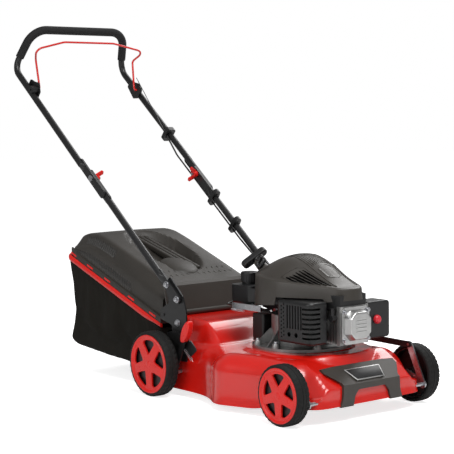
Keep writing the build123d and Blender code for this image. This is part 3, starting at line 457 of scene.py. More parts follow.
def makeDisc(name, centre, radius, faceY, outward):
    count, rings, bore = hubs["around"], hubs["rings"], hubs["boreMm"] * mm
    turns = [2 * math.pi * i / count for i in range(count)]
    radii = [bore + (radius - bore) * i / rings for i in range(rings + 1)]
    form = bmesh.new()
    grid = [[form.verts.new((centre.x + r * math.cos(a), faceY - outward * faceDrop(r / radius) * mm,
                             centre.z + r * math.sin(a))) for a in turns] for r in radii]
    for j in range(rings):
        for i in range(count):
            if not inWindow((radii[j] + radii[j + 1]) / 2, 2 * math.pi * (i + 0.5) / count, radius):
                ahead = (i + 1) % count
                form.faces.new((grid[j][i], grid[j][ahead], grid[j + 1][ahead], grid[j + 1][i]))
    bmesh.ops.delete(form, geom=[v for v in form.verts if not v.link_faces], context="VERTS")
    for turn in range(3):
        softenWindows(form, centre, radius)
    bmesh.ops.recalc_face_normals(form, faces=form.faces)
    if sum(f.normal.y for f in form.faces) * outward < 0:
        bmesh.ops.reverse_faces(form, faces=form.faces)
    return addMesh(name, form)


def addRound(vertices, radius, depth, place, **more):
    bpy.ops.mesh.primitive_cylinder_add(vertices=vertices, radius=radius, depth=depth, location=place,
                                        rotation=(math.pi / 2, 0, 0), **more)
    return bpy.context.object


def makeHub(node, body):
    low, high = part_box(node)
    centre = middle(node)
    radius = (high[0] - low[0]) / 2
    outward = 1 if centre.y > 0 else -1
    faceY = high[1] if outward > 0 else low[1]

    def behind(backMm):
        return centre.x, faceY - outward * backMm * mm, centre.z

    disc = makeDisc(node + "_disc", centre, radius, faceY, outward)
    addModifier(disc, "SOLIDIFY", thickness=hubs["discMm"] * mm, offset=-1)
    addModifier(disc, "BEVEL", width=0.9 * mm, segments=2, limit_method="ANGLE", angle_limit=math.radians(50))
    finishPiece(node + "_disc", body, redAbs, [node], 40)
    wide, deepMm, backMm = hubs["barrel"]
    barrel = addRound(96, radius * wide, deepMm * mm, behind(backMm), end_fill_type="NOTHING")
    addModifier(barrel, "SOLIDIFY", thickness=3 * mm, offset=0)
    finishPiece(node + "_barrel", body, blackPlastic)
    # black web that closes the windows from behind, dished towards the spindle
    wide, backMm = hubs["web"]
    bpy.ops.mesh.primitive_circle_add(vertices=96, radius=radius * wide, fill_type="NGON", location=behind(backMm),
                                      rotation=(math.pi / 2, 0, 0))
    startEdit()
    pick(lambda f: True)
    bpy.ops.mesh.inset(thickness=radius * 0.3)
    bpy.ops.transform.translate(value=(0, outward * 3 * mm, 0))
    bpy.ops.mesh.inset(thickness=radius * 0.35)
    bpy.ops.transform.translate(value=(0, -outward * 2 * mm, 0))
    endEdit()
    addModifier(bpy.context.object, "SOLIDIFY", thickness=2.4 * mm, offset=0)
    finishPiece(node + "_web", body, blackPlastic)
    radiusMm, deepMm, backMm = hubs["bossMm"]
    boss = addRound(48, radiusMm * mm, deepMm * mm, behind(backMm))
    startEdit()
    pick(lambda f: abs(f.normal.z) > 0.9)
    bpy.ops.mesh.inset(thickness=7 * mm)
    bpy.ops.mesh.delete(type="FACE")
    endEdit()
    addModifier(boss, "BEVEL", width=1 * mm, segments=2, limit_method="ANGLE")
    finishPiece(node + "_boss", body, blackPlastic)
    radiusMm, deepMm, backMm = hubs["capMm"]
    cap = addRound(40, radiusMm * mm, deepMm * mm, behind(backMm))
    startEdit()
    pick(lambda f: f.normal.z > 0.9 if outward < 0 else f.normal.z < -0.9)
    bpy.ops.mesh.inset(thickness=3 * mm)
    bpy.ops.transform.translate(value=(0, outward * 0.8 * mm, 0))
    endEdit()
    addModifier(cap, "BEVEL", width=1.4 * mm, segments=3, limit_method="ANGLE")
    finishPiece(node + "_cap", body, redAbs)


for end, body in wheelBodies.items():
    makeHub("wheel_" + end, body)
print("wheels done")

# grass bag: woven cloth hung from the lid's edge, sagging between its seams
bag = {"halfWidth": 0.168, "grid": (38, 20, 28), "flat": (1.05, 0.86), "area": 0.455, "topSlope": 0.356,
       "topFront": (20, 171), "topRear": (-424, 329), "frames": 24, "mostMove": 0.014,
       "edge": [(20, 112), (-20, 76), (-127, 64), (-260, 71), (-402, 84), (-425, 98)],
       "rear": [(-424, 329), (-407, 262), (-400, 190), (-404, 150), (-425, 98)], "foldMm": 2.2}


def alongRun(points, share):
    lengths = [(Vector(b) - Vector(a)).length for a, b in zip(points, points[1:])]
    left = share * sum(lengths)
    for a, b, run in zip(points, points[1:], lengths):
        if left <= run or b == points[-1]:
            return Vector(a).lerp(Vector(b), min(1, left / run))
        left -= run


def makeBag():
    half = bag["halfWidth"]
    columns, rows, across = bag["grid"]
    form = bmesh.new()

    def sidePoint(s, t):
        top = Vector(bag["topFront"]).lerp(Vector(bag["topRear"]), s)
        low = alongRun(bag["edge"], s)
        point = top.lerp(low, t)
        bend = alongRun(bag["rear"], t) - Vector(bag["rear"][0]).lerp(Vector(bag["rear"][-1]), t)
        return (point + bend * s ** 6) * mm

    def panel(side):
        grid = []
        for i in range(columns + 1):
            line = []
            for j in range(rows + 1):
                p = sidePoint(i / columns, j / rows)
                sag = math.sin(math.pi * i / columns) * math.sin(math.pi * j / rows)
                fold = bag["foldMm"] * mm * sag * math.sin(i * 0.55 + j * 0.30 + 0.8 * math.sin(j * 0.5))
                line.append(form.verts.new((p.x, side * (half - 0.004 * sag + fold), p.y)))
            grid.append(line)
        for i in range(columns):
            for j in range(rows):
                form.faces.new((grid[i][j], grid[i + 1][j], grid[i + 1][j + 1], grid[i][j + 1]))

    panel(-1)
    panel(1)
    strip = [sidePoint(i / columns, 1) for i in range(columns + 1)]
    strip += [sidePoint(1, 1 - j / rows) for j in range(1, rows + 1)]
    strip = [sidePoint(0, j / rows) for j in range(rows)] + strip
    lines = [[form.verts.new((p.x, -half + 2 * half * k / across, p.y)) for k in range(across + 1)] for p in strip]
    for i in range(len(strip) - 1):
        for k in range(across):
            if i < rows and 2 < i < rows - 3 and 2 <= k < across - 2:
                continue  # the mouth that the grass comes in by
            form.faces.new((lines[i][k], lines[i + 1][k], lines[i + 1][k + 1], lines[i][k + 1]))
    bmesh.ops.remove_doubles(form, verts=form.verts, dist=0.0005)
    bmesh.ops.delete(form, geom=[v for v in form.verts if not v.link_faces], context="VERTS")
    bmesh.ops.recalc_face_normals(form, faces=form.faces)
    cloth = addMesh("grassBag", form)
    held = cloth.vertex_groups.new(name="held")
    frontX, frontZ = bag["topFront"]
    for v in cloth.data.vertices:
        topZ = (frontZ + (frontX - v.co.x / mm) * bag["topSlope"]) * mm
        if v.co.z > topZ - 0.006 or v.co.x > 0.015:
            held.add([v.index], 1.0, "REPLACE")
        elif v.co.z < 0.11 and abs(v.co.y) > half - 0.002:
            held.add([v.index], 0.85, "REPLACE")
        elif abs(v.co.y) > half - 0.002 and v.co.x < -0.395:
            held.add([v.index], 0.6, "REPLACE")
    simulateCloth(cloth)
    capMoves(cloth)
    addModifier(cloth, "SUBSURF", levels=1, render_levels=1)
    addModifier(cloth, "SOLIDIFY", thickness=0.0008, offset=0)
    cloth = finishPiece("grassBag", "grass_box", bagPolyester, ["bag_fabric"], 60)
    return cloth


startPlaces = {}


def simulateCloth(cloth):
    startPlaces[cloth.name] = [v.co.copy() for v in cloth.data.vertices]
    modifier = cloth.modifiers.new("cloth", "CLOTH")
    modifier.settings.quality = 6
    modifier.settings.mass = 0.25
    modifier.settings.tension_stiffness = 25
    modifier.settings.compression_stiffness = 18
    modifier.settings.bending_stiffness = 0.6
    modifier.settings.vertex_group_mass = "held"
    modifier.settings.shrink_min = -0.018
    modifier.settings.pin_stiffness = 1.0
    modifier.collision_settings.use_collision = False
    modifier.collision_settings.use_self_collision = False
    for frameNumber in range(1, bag["frames"] + 1):
        bpy.context.scene.frame_set(frameNumber)
    deselectAll()
    cloth.select_set(True)
    bpy.context.view_layer.objects.active = cloth
    bpy.ops.object.modifier_apply(modifier=modifier.name)
    bpy.context.scene.frame_set(1)


def capMoves(cloth):
    most = bag["mostMove"]
    for v, start in zip(cloth.data.vertices, startPlaces.get(cloth.name, [])):
        move = v.co - start
        if move.length > most:
            v.co = start + move * (most / move.length)


makeBag()
print("grass bag done")

# lid of the grass box: stepped moulding with ribbed sides and a hand recess in its top
lid = {"crest": [(22, 286), (-142, 346), (-296, 399), (-350, 406), (-392, 399), (-416, 384), (-425, 366)],
       "ribPitchMm": 8.6, "ribDepthMm": 4.6, "recess": (-0.188, 0.0, 0.148, 0.086), "recessDepthMm": 30,
       # half width, and height over the lid's edge, its shoulder or its top
       "rim": [(170, 0), (170.5, 2), (170.5, 17), (169.5, 19), (164, 20)],
       "shoulder": [(160.5, -1), (159, 1.5), (155, 4)], "topEdge": [(138, -4.5), (135, -2), (130, -0.6)]}


def ramp(value, low, high):
    # an eased step, from 0 at low to 1 at high
    t = max(0.0, min(1.0, (value - low) / (high - low)))
    return t * t * (3 - 2 * t)


def crestHeight(x):
    points = lid["crest"]
    for k in range(len(points) - 1):
        (x0, z0), (x1, z1) = points[k], points[k + 1]
        if x1 <= x <= x0:
            before = points[max(0, k - 1)]
            after = points[min(len(points) - 1, k + 2)]
            run = x1 - x0
            slopeIn = (z1 - before[1]) / (x1 - before[0]) * run
            slopeOut = (after[1] - z0) / (after[0] - x0) * run
            t = (x - x0) / run
            return ((2 * t ** 3 - 3 * t ** 2 + 1) * z0 + (t ** 3 - 2 * t ** 2 + t) * slopeIn
                    + (3 * t ** 2 - 2 * t ** 3) * z1 + (t ** 3 - t ** 2) * slopeOut)
    return points[-1][1]


def edgeHeight(x):
    return 182 + (22 - x) * 0.362


def bump(x, low, high, soft):
    # 1 between low and high, fading to 0 over soft at both ends
    return max(0.0, min(1.0, (x - low) / soft, (high - x) / soft))


def cornerPull(x):
    return max(0, -380 - x) ** 2 * 0.006  # draws the lid in at its rear corners


def lidSection(x):
    top, edge = crestHeight(x), edgeHeight(x)
    crown = min(38, 0.5 * (top - edge))
    shoulder = top - crown
    pull = cornerPull(x)
    ribs = lid["ribDepthMm"] * (0.5 + 0.5 * math.cos(2 * math.pi * x / lid["ribPitchMm"]))
    lowRibs = ribs * bump(x, -402, -118, 10)
    highRibs = ribs * bump(x, -360, -215, 4)
    gap = shoulder - edge - 22
    points = [(y, edge + z) for y, z in lid["rim"]]
    depths = {}
    for k in range(1, 8):
        share = k / 8
        inRibs = bump(share, 0.06, 0.62, 0.1)
        depths[len(points)] = lowRibs * inRibs
        points.append((164 - 3 * share - lowRibs * inRibs, edge + 20 + gap * share))
    points += [(y, shoulder + z) for y, z in lid["shoulder"]]
    for k in range(1, 8):
        share = k / 8
        inRibs = bump(share, 0.12, 0.88, 0.1)
        depths[len(points)] = highRibs * inRibs
        points.append((155 - 17 * share - highRibs * inRibs * 0.4,
                       shoulder + 4 + (crown - 8) * share - highRibs * inRibs))
    points += [(y, top + z) for y, z in lid["topEdge"]]
    for y in range(126, -1, -6):
        points.append((y, top + 1.5 * (1 - (y / 130) ** 2)))
    full = [(-(y - pull), z) for y, z in points] + [(y - pull, z) for y, z in reversed(points[:-1])]
    out = []
    cx, cy, halfLong, halfWide = lid["recess"]
    for y, z in full:
        if abs(y) < 132 and z > top - 5:
            r = math.hypot((x * mm - cx) / halfLong, (y * mm - cy) / halfWide)
            wall = max(0.0, min(1.0, (1 - r) / 0.16))
            z -= lid["recessDepthMm"] * wall * wall * (3 - 2 * wall) * (0.55 + 0.45 * bump(x, -336, -60, 120))
        out.append((x * mm, y * mm, z * mm))
    # how deep each point lies between two ribs; the lid's finish paints shade into the grooves from it
    grooves = [depths.get(min(k, len(full) - 1 - k), 0) / lid["ribDepthMm"] for k in range(len(full))]
    return out, grooves


def makeLid():
    form = bmesh.new()
    shade = form.verts.layers.float.new("groove")  # how deep a point lies between two ribs, which sets the painted shade in the grooves
    stations = [22 - 2.15 * i for i in range(208)]
    rows = []
    for x in stations:
        row = []
        for place, depth in zip(*lidSection(x)):
            row.append(form.verts.new(place))
            row[-1][shade] = depth
        rows.append(row)
    skin(form, rows, around=False)
    for row in (rows[0], rows[-1]):
        form.faces.new(row)
    faceUp(form)
    addMesh("boxLid", form)
    finishPiece("boxLid", "grass_box", lidPolypropylene, ["bag_lid"], 32)


makeLid()

grip = {"from": (-0.318, 0.382), "to": (-0.058, 0.3095), "width": 0.046, "slats": 3, "aside": 0.012, "lift": 0.003,
        "slat": (0.011, 0.014), "bossPlace": (-0.085, -0.022, 0.319), "bossSize": (0.062, 0.050, 0.016)}


def makeLidGrip():
    # three slats along the recess that the hand closes on, and the lens-shaped boss in front of them
    start, end = Vector((grip["from"][0], 0, grip["from"][1])), Vector((grip["to"][0], 0, grip["to"][1]))
    tilt = math.atan2(start.z - end.z, end.x - start.x)
    for k in range(grip["slats"]):
        y = (k - 1) * grip["width"] / 3
        place = ((start.x + end.x) / 2, y + grip["aside"], (start.z + end.z) / 2 + grip["lift"])
        bpy.ops.mesh.primitive_cube_add(size=1, location=place, rotation=(0, tilt, 0),
                                        scale=((end - start).length, *grip["slat"]))
        slat = bpy.context.object
        addModifier(slat, "BEVEL", width=3 * mm, segments=3)
        finishPiece("lidSlat" + str(k + 1), "grass_box", lidPolypropylene)
    bpy.ops.mesh.primitive_uv_sphere_add(segments=48, ring_count=24, location=grip["bossPlace"],
                                         rotation=(0, tilt, 0), scale=grip["bossSize"])
    startEdit()
    pick(lambda f: f.calc_center_median().z < -0.35)
    bpy.ops.mesh.delete(type="FACE")
    endEdit()
    finishPiece("lidBoss", "grass_box", lidPolypropylene)


makeLidGrip()

slots = {"places": (-396, -312, -226, -112, -14), "lengthMm": 30, "heightMm": 5}


def makeTrimSlots():
    for side, word in bothSides:
        made = []
        for x in slots["places"]:
            place = (x * mm, side * (170.6 - cornerPull(x)) * mm, (edgeHeight(x) + 10) * mm)
            bpy.ops.mesh.primitive_cube_add(size=1, location=place,
                                            rotation=(0, math.atan(0.362), 0),
                                            scale=(slots["lengthMm"] * mm, 2.4 * mm, slots["heightMm"] * mm))
            startEdit()
            pick(lambda f: f.normal.y * side > 0.9)
            bpy.ops.mesh.inset(thickness=0.9 * mm)
            bpy.ops.transform.translate(value=(0, side * 0.5 * mm, 0))
            endEdit()
            made.append(bpy.context.object)
        for piece in made:
            settle(piece)
        nameJoined(made, "trimTabs" + word, "grass_box", redAbs)


makeTrimSlots()

# red band round the grass box, under the lid's edge: rounded, deepest along the sides, tapered at its front ends
band = {"half": 170, "front": 26, "rear": -425, "cornerMm": 16,
        "profile": [(-3, 2), (1.6, 2), (4.0, 0.4), (5.2, -3), (5.4, -8), (4.4, -12.5), (1.6, -15.2), (-3, -15.6)]}


def bandPath():
    path = [(band["front"] - 7.2 * i, -band["half"], 0, -1) for i in range(61)]
    for i in range(1, 9):
        a = -math.pi / 2 - math.pi / 2 * i / 8
        path.append((band["rear"] + band["cornerMm"] * (1 + math.cos(a)),
                     -band["half"] + band["cornerMm"] * (1 + math.sin(a)), math.cos(a), math.sin(a)))
    straight = band["half"] - band["cornerMm"]
    half = path + [(band["rear"], -straight + straight * i / 10, -1, 0) for i in range(1, 11)]
    return half + [(x, -y, outX, -outY) for x, y, outX, outY in reversed(half[:-1])]


def makeBand():
    form = bmesh.new()
    rows = []
    for x, y, outX, outY in bandPath():
        deep = 0.45 + 0.55 * ramp(x, 26, -60) if x > -60 else 1.0
        row = []
        for u, v in band["profile"]:
            v = v * deep if v < 0 else v
            row.append(form.verts.new(((x + outX * u) * mm, (y + outY * u) * mm, (edgeHeight(x) + v) * mm)))
        rows.append(row)
    skin(form, rows)
    form.faces.new(rows[0])
    form.faces.new(rows[-1])
    bmesh.ops.recalc_face_normals(form, faces=form.faces)
    addMesh("redBand", form)
    finishPiece("redBand", "grass_box", redAbs, ["bag_trim"], 50)


tread = {"rows": (-22, -48), "count": 13, "pitchMm": 19, "barMm": (13, 4, 1.6)}


def makeLidTread():
    # two staggered rows of small raised bars across the front of the lid
    made = []
    for number, x in enumerate(tread["rows"]):
        for k in range(tread["count"] - number):
            y = (k - (tread["count"] - 1 - number) / 2) * tread["pitchMm"]
            slope = math.atan2(crestHeight(x - 4) - crestHeight(x + 4), 8)
            z = crestHeight(x) + 1.5 * (1 - (y / 130) ** 2)
            bpy.ops.mesh.primitive_cube_add(size=1, location=(x * mm, y * mm, z * mm),
                                            rotation=(0, slope, 0.5 * (1 - 2 * number)),
                                            scale=tuple(v * mm for v in tread["barMm"]))
            startEdit()
            pick(lambda f: f.normal.z > 0.7)
            bpy.ops.transform.resize(value=(0.8, 0.6, 1))
            endEdit()
            settle(bpy.context.object)
            made.append(bpy.context.object)
    nameJoined(made, "lidTread", "grass_box", lidPolypropylene)


makeBand()
makeLidTread()
print("lid done")

# deck: one pressed steel shell, rounded over its shoulders, with the discharge tunnel rising at its rear
deck = {"edge": [(50, -176), (205, -178), (275, -200), (330, -237), (385, -218), (455, -197), (500, -191),
                 (600, -190), (645, -180), (647, -90), (647, 90), (645, 180), (600, 190), (500, 190), (470, 198),
                 (435, 211), (400, 214), (365, 211), (330, 198), (300, 190), (205, 179), (50, 176)],
        "shoulder": 96, "top": 146, "round": 52, "platform": 150, "tunnel": 207, "tunnelHalf": 150, "skirt": 18,
        "frontSkirt": 40, "ledge": 70, "ledgeRun": (320, 520), "sheet": 2.5, "half": 176, "steps": 52,
        "platformX": 421, "platformStraight": 21, "platformEdge": (158, 141), "innerRing": 122,
        "noseTop": 148, "noseSlopes": ((540, 64, 30), (604, 46, 36)),  # from x, over a length, down by
        "flange": ((3.0, 0), (3.0, 2.2), (0.4, 3.0))}  # out from the edge, up from the skirt's foot


def softenRun(points, times):
    for turn in range(times):
        out = [points[0]]
        for a, b in zip(points, points[1:]):
            out += [(a[0] * 0.75 + b[0] * 0.25, a[1] * 0.75 + b[1] * 0.25),
                    (a[0] * 0.25 + b[0] * 0.75, a[1] * 0.25 + b[1] * 0.75)]
        points = out + [points[-1]]
    return points


def evenRun(points, count):
    lengths = [0]
    for a, b in zip(points, points[1:]):
        lengths.append(lengths[-1] + math.dist(a, b))
    out, k = [], 0
    for i in range(count + 1):
        want = lengths[-1] * i / count
        while k < len(points) - 2 and lengths[k + 1] < want:
            k += 1
        share = (want - lengths[k]) / max(1e-9, lengths[k + 1] - lengths[k])
        a, b = points[k], points[k + 1]
        out.append((a[0] + (b[0] - a[0]) * share, a[1] + (b[1] - a[1]) * share))
    return out


def softMin(a, b, blend):
    h = max(0.0, min(1.0, 0.5 + 0.5 * (b - a) / blend))
    return b + (a - b) * h - blend * h * (1 - h)


def softMax(a, b, blend):
    return -softMin(-a, -b, blend)


def deckHeight(x, y, inward):
    t = max(0.0, min(1.0, inward / deck["round"]))
    z = deck["shoulder"] + (deck["top"] - deck["shoulder"]) * math.sqrt(1 - (1 - t) ** 2)
    nose = deck["noseTop"]
    for start, length, drop in deck["noseSlopes"]:
        nose -= drop * max(0, min(1, (x - start) / length))
    corner = max(0.0, abs(y) - 142) * 1.15 * ramp(x, 535, 605)
    z = softMin(z, nose - corner, 10)
    roof = deck["tunnel"] - x * 10 / 150 - ramp(x, 150, 268) * 66
    side = ramp(abs(y), deck["tunnelHalf"] - 4, deck["tunnelHalf"] - 30)
    if side > 0 and x < 270:
        z = softMax(z, z + (roof - z) * side, 3)
    rest = ramp(math.hypot(max(0, abs(x - deck["platformX"]) - deck["platformStraight"]), y), *deck["platformEdge"])
    return z + (deck["platform"] - z) * rest


def skirtHeight(x):
    return deck["skirt"] + (deck["frontSkirt"] - deck["skirt"]) * ramp(x, 425, 565)


def leftWall(x):
    return deck["half"] + 14 * ramp(x, 200, 330)


def makeDeck():
    run = evenRun(softenRun(deck["edge"], 4), 200)
    half, rearX = deck["half"], deck["edge"][0][0]
    loop = run + [(rearX, half - 2 * half * i / 40) for i in range(1, 40)]
    form = bmesh.new()
    rows = []
    for flange, drop in deck["flange"]:
        row = []
        for i, (x, y) in enumerate(loop):
            ahead = Vector(loop[(i + 1) % len(loop)]) - Vector(loop[i - 1])
            out = Vector((ahead.y, -ahead.x)).normalized()
            z = skirtHeight(x) + drop
            if i > len(run) - 1 or i == 0:
                out, z = Vector((0, 0)), deckHeight(x, y, half - abs(y))
            row.append(form.verts.new(((x + out.x * flange) * mm, (y + out.y * flange) * mm, z * mm)))
        rows.append(row)
    # round the blade's tips the left wall stands out up to a ledge, and the link bar passes over it
    ledgeStart, ledgeEnd = deck["ledgeRun"]
    upper = [(x, min(y, leftWall(x))) if ledgeStart < x < ledgeEnd else (x, y) for x, y in loop]
    for ring, z in ((loop, deck["ledge"] - 3), (upper, deck["ledge"] + 1)):
        row = []
        for i, (x, y) in enumerate(ring):
            height = deckHeight(x, y, half - abs(y)) if i > len(run) - 1 or i == 0 else z
            row.append(form.verts.new((x * mm, y * mm, height * mm)))
        rows.append(row)
    wallRows = len(rows)
    centre = Vector((deck["platformX"], 0))
    for j in range(deck["steps"] + 1):
        share = (j / deck["steps"]) ** 1.35
        row = []
        for i, (x, y) in enumerate(upper):
            away = Vector((x, y)) - centre
            p = Vector((x, y)).lerp(centre + away.normalized() * deck["innerRing"], share)
            toEdge = (Vector((x, y)) - p).length
            lean = abs(away.normalized().y) if abs(y) > 150 and x < 620 else 1
            inward = half - abs(p.y) if i > len(run) - 1 else toEdge * lean
            if p.y > 0 or p.x < 200:
                inward = min(inward, leftWall(p.x) - abs(p.y))
            row.append(form.verts.new((p.x * mm, p.y * mm, deckHeight(p.x, p.y, max(0, inward)) * mm)))
        rows.append(row)
    for j, (a, b) in enumerate(zip(rows, rows[1:])):
        for i in range(len(loop)):
            if j < wallRows and i >= len(run) - 1:
                continue  # the tunnel's mouth
            form.faces.new((a[i], a[(i + 1) % len(loop)], b[(i + 1) % len(loop)], b[i]))
    bmesh.ops.remove_doubles(form, verts=form.verts, dist=0.00005)
    faceUp(form)
    piece = addMesh("deckPressing", form)
    addModifier(piece, "SMOOTH", iterations=2, factor=0.5)
    addModifier(piece, "SOLIDIFY", thickness=deck["sheet"] * mm, offset=-1)
    finishPiece("deckPressing", "deck", redEnamel, ["deck_shell"], 40)


makeDeck()
print("deck done")

# blank badge on the nose: a dark panel in a bright frame
badge = {"middle": (0.6315, 0, 0.1078), "lengthMm": 40, "halfBackMm": 60, "halfFrontMm": 47, "tilt": 34.7}


def makePanel(name, material, body, middlePlace, length, halfBack, halfFront, thick, tilt, lift):
    bpy.ops.mesh.primitive_cube_add(size=1, scale=(length * mm, 2 * halfBack * mm, thick * mm))
    startEdit("VERT")
    pick(lambda v: v.co.x > 0, "verts")
    bpy.ops.transform.resize(value=(1, halfFront / halfBack, 1))
    endEdit()
    panel = bpy.context.object
    settle(panel)
    addModifier(panel, "BEVEL", width=min(1.0, thick * 0.4) * mm, segments=2)
    turn = Matrix.Rotation(math.radians(tilt), 4, "Y")
    up = turn @ Vector((0, 0, 1))
    panel.data.transform(Matrix.Translation(Vector(middlePlace) + up * lift * mm) @ turn)
    return finishPiece(name, body, material)


makePanel("noseBadgeFrame", silverCast, "deck", badge["middle"], badge["lengthMm"],
          badge["halfBackMm"], badge["halfFrontMm"], 2.4, badge["tilt"], 1.0)
makePanel("noseBadgeFace", blackPlastic, "deck", badge["middle"], badge["lengthMm"] - 5,
          badge["halfBackMm"] - 3, badge["halfFrontMm"] - 3, 2.4, badge["tilt"], 1.5)

# cowl: one moulding with a tall side wall, a rolled edge and a crown drawn down to a narrow front
cowl = {"rear": (400, 121), "tip": (547, 53), "creaseRear": 340, "creaseFront": 312, "edgeMm": 5.5, "centreX": 430,
        "under": [(260, 252), (420, 266), (540, 278), (660, 290)], "guardTop": 287,
        "spine": [(282, 330), (290, 358), (308, 377), (340, 386), (380, 388), (410, 387), (450, 379), (500, 361),
                  (545, 340), (583, 319), (604, 303)]}


def along(points, x):
    for (xa, za), (xb, zb) in zip(points, points[1:]):
        if x <= xb:
            return za + (zb - za) * max(0.0, (x - xa) / (xb - xa))
    return points[-1][1]


def cowlOutline():
    # hull of a round over the flywheel and a smaller one over the cylinder
    (x0, r0), (x1, r1) = cowl["rear"], cowl["tip"]
    lean = math.acos((r0 - r1) / (x1 - x0))
    turns = [lean + (2 * math.pi - 2 * lean) * i / 60 for i in range(61)]
    points = [(x0 + r0 * math.cos(a), r0 * math.sin(a)) for a in turns]
    turns = [-lean + 2 * lean * i / 30 for i in range(31)]
    points += [(x1 + r1 * math.cos(a), r1 * math.sin(a)) for a in turns]
    return evenRun(points + points[:1], 180)[:-1]


def creaseHeight(x):
    return cowl["creaseRear"] + (cowl["creaseFront"] - cowl["creaseRear"]) * max(0.0, min(1.0, (x - 290) / 310))


def cowlHeight(level, x, y):
    # level 0 to 1 up the side wall, 1 to 2 round the rolled edge, 2 to 3 over the crown; returns (inward, height)
    low = along(cowl["under"], x)
    if y < -60 and x > 430:
        low = max(low, cowl["guardTop"])
    edge = cowl["edgeMm"]
    if level <= 1:
        return 1 - 0.02 * level, low + (creaseHeight(x) - 0.6 * edge - low) * level
    if level <= 2:
        turn = (level - 1) * math.pi / 2
        return 0.98 - (1 - math.cos(turn)) * edge * 0.011, creaseHeight(x) + (math.sin(turn) - 0.6) * edge
    share = level - 2
    inward = 0.9195 * (1 - share)
    base = creaseHeight(x) + 0.4 * edge
    top = max(along(cowl["spine"], cowl["centreX"] + (x - cowl["centreX"]) * inward), base + 1)
    return inward, base + (top - base) * (1 - (1 - share) ** 2.3)


def makeCowl():
    form = bmesh.new()
    rows = []
    levels = [0, 0.5, 1, 1.3, 1.6, 2] + [2 + i / 26 for i in range(1, 27)]
    for level in levels:
        row = []
        for x, y in cowlOutline():
            inward, z = cowlHeight(level, x, y)
            centreX = cowl["centreX"]
            row.append(form.verts.new(Vector((centreX + (x - centreX) * inward, y * inward, z)) * mm))
        rows.append(row)
    for a, b in zip(rows, rows[1:]):
        for i in range(len(a)):
            form.faces.new((a[i], a[i - 1], b[i - 1], b[i]))
    bmesh.ops.remove_doubles(form, verts=form.verts, dist=0.00005)
    for turn in range(4):
        crown = [v for v in form.verts if v.co.z > creaseHeight(v.co.x / mm) * mm + 0.006]
        bmesh.ops.smooth_vert(form, verts=crown, factor=0.5, use_axis_z=True)
    faceUp(form)
    piece = addMesh("cowl", form)
    addModifier(piece, "SOLIDIFY", thickness=2.5 * mm, offset=-1)
    return finishPiece("cowl", "deck", cowlAbs, ["engine_shroud"], 40)


cowlPiece = makeCowl()

snout = {"mouth": (252, -20, 356.8), "run": (0.835, 0, -0.55), "lengthMm": 52, "radiusMm": 12, "rootMm": 17}


def makeSnout():
    # the tapered spout that the starter cord leaves by, with a rolled lip at its mouth
    bpy.ops.mesh.primitive_cone_add(vertices=48, radius1=snout["radiusMm"] * mm, radius2=snout["rootMm"] * mm,
                                    depth=snout["lengthMm"] * mm, location=(0, 0, snout["lengthMm"] / 2 * mm))
    startEdit()
    pick(lambda f: f.normal.z < -0.9)
    bpy.ops.mesh.inset(thickness=3.5 * mm)
    bpy.ops.mesh.extrude_region_move(TRANSFORM_OT_translate={"value": (0, 0, 30 * mm)})
    endEdit()
    spout = bpy.context.object
    settle(spout)
    addModifier(spout, "BEVEL", width=1.4 * mm, segments=3, limit_method="ANGLE", angle_limit=math.radians(50))
    spout.data.transform(Matrix.Translation(Vector(snout["mouth"]) * mm) @ turnTo(snout["run"]))
    finishPiece("starterSpout", "deck", cowlAbs)


makeSnout()

# each eye: place, radius, wire and the way it faces
eyes = [((318, -66, 362), 17, 3.4, (-0.35, -0.86, 0.42)), ((296, -52, 372), 10, 3.0, (-0.2, -0.6, 0.75))]


def makeCordEyes():
    # the round guides that the cord is led past, beside the spout
    made = []
    for place, radiusMm, wireMm, facing in eyes:
        bpy.ops.mesh.primitive_torus_add(major_segments=48, minor_segments=14, major_radius=radiusMm * mm,
                                         minor_radius=wireMm * mm)
        ring = bpy.context.object
        oval = Matrix.Diagonal((1, 0.82, 1.5, 1))
        ring.data.transform(Matrix.Translation(Vector(place) * mm) @ turnTo(facing) @ oval)
        made.append(ring)
    nameJoined(made, "cordEyes", "deck", blackPlastic)


# cowl details: louvres on both sides, fine ribs and a blank plate along its top
louvres = {"widthMm": 5.2, "samples": 18,
           "runs": [((466, 57), (553, 42)), ((461, 65), (545, 49)), ((458, 73), (533, 57)), ((456, 81), (517, 66)),
                    ((452, 88.5), (499, 75.5)), ((446, 95), (479, 85.5))],
           "ridges": [((434, 100), (452, 62)), ((452, 62), (464, 50)), ((464, 50), (566, 36)), ((392, 38), (566, 33)),
                      ((434, 100), (478, 90))]}


def onCowl(x, y):
    hit, place, normal = cowlPiece.ray_cast(Vector((x * mm, y * mm, 0.6)), Vector((0, 0, -1)))[:3]
    return (place, normal) if hit else (Vector((x * mm, y * mm, 0.3)), Vector((0, 0, 1)))


def makeStrip(name, start, end, width, profile, material):
    # profile: (share of the half width, height above the cowl in mm)
    form = bmesh.new()
    rows = []
    across = Vector((-(end[1] - start[1]), end[0] - start[0])).normalized()
    count = louvres["samples"]
    for i in range(count + 1):
        share = i / count
        x = start[0] + (end[0] - start[0]) * share
        y = start[1] + (end[1] - start[1]) * share
        narrow = min(1.0, 0.25 + 4 * min(share, 1 - share))
        row = []
        for side, height in profile:
            px, py = x + across.x * side * width / 2 * narrow, y + across.y * side * width / 2 * narrow
            place, normal = onCowl(px, py)
            row.append(form.verts.new(place + normal * height * mm))
        rows.append(row)
    for a, b in zip(rows, rows[1:]):
        for k in range(len(a) - 1):
            form.faces.new((a[k], b[k], b[k + 1], a[k + 1]))
    bmesh.ops.recalc_face_normals(form, faces=form.faces)
    if sum(f.normal.z for f in form.faces) < 0:
        bmesh.ops.reverse_faces(form, faces=form.faces)
    addMesh(name, form)
    return finishPiece(name, "deck", material)


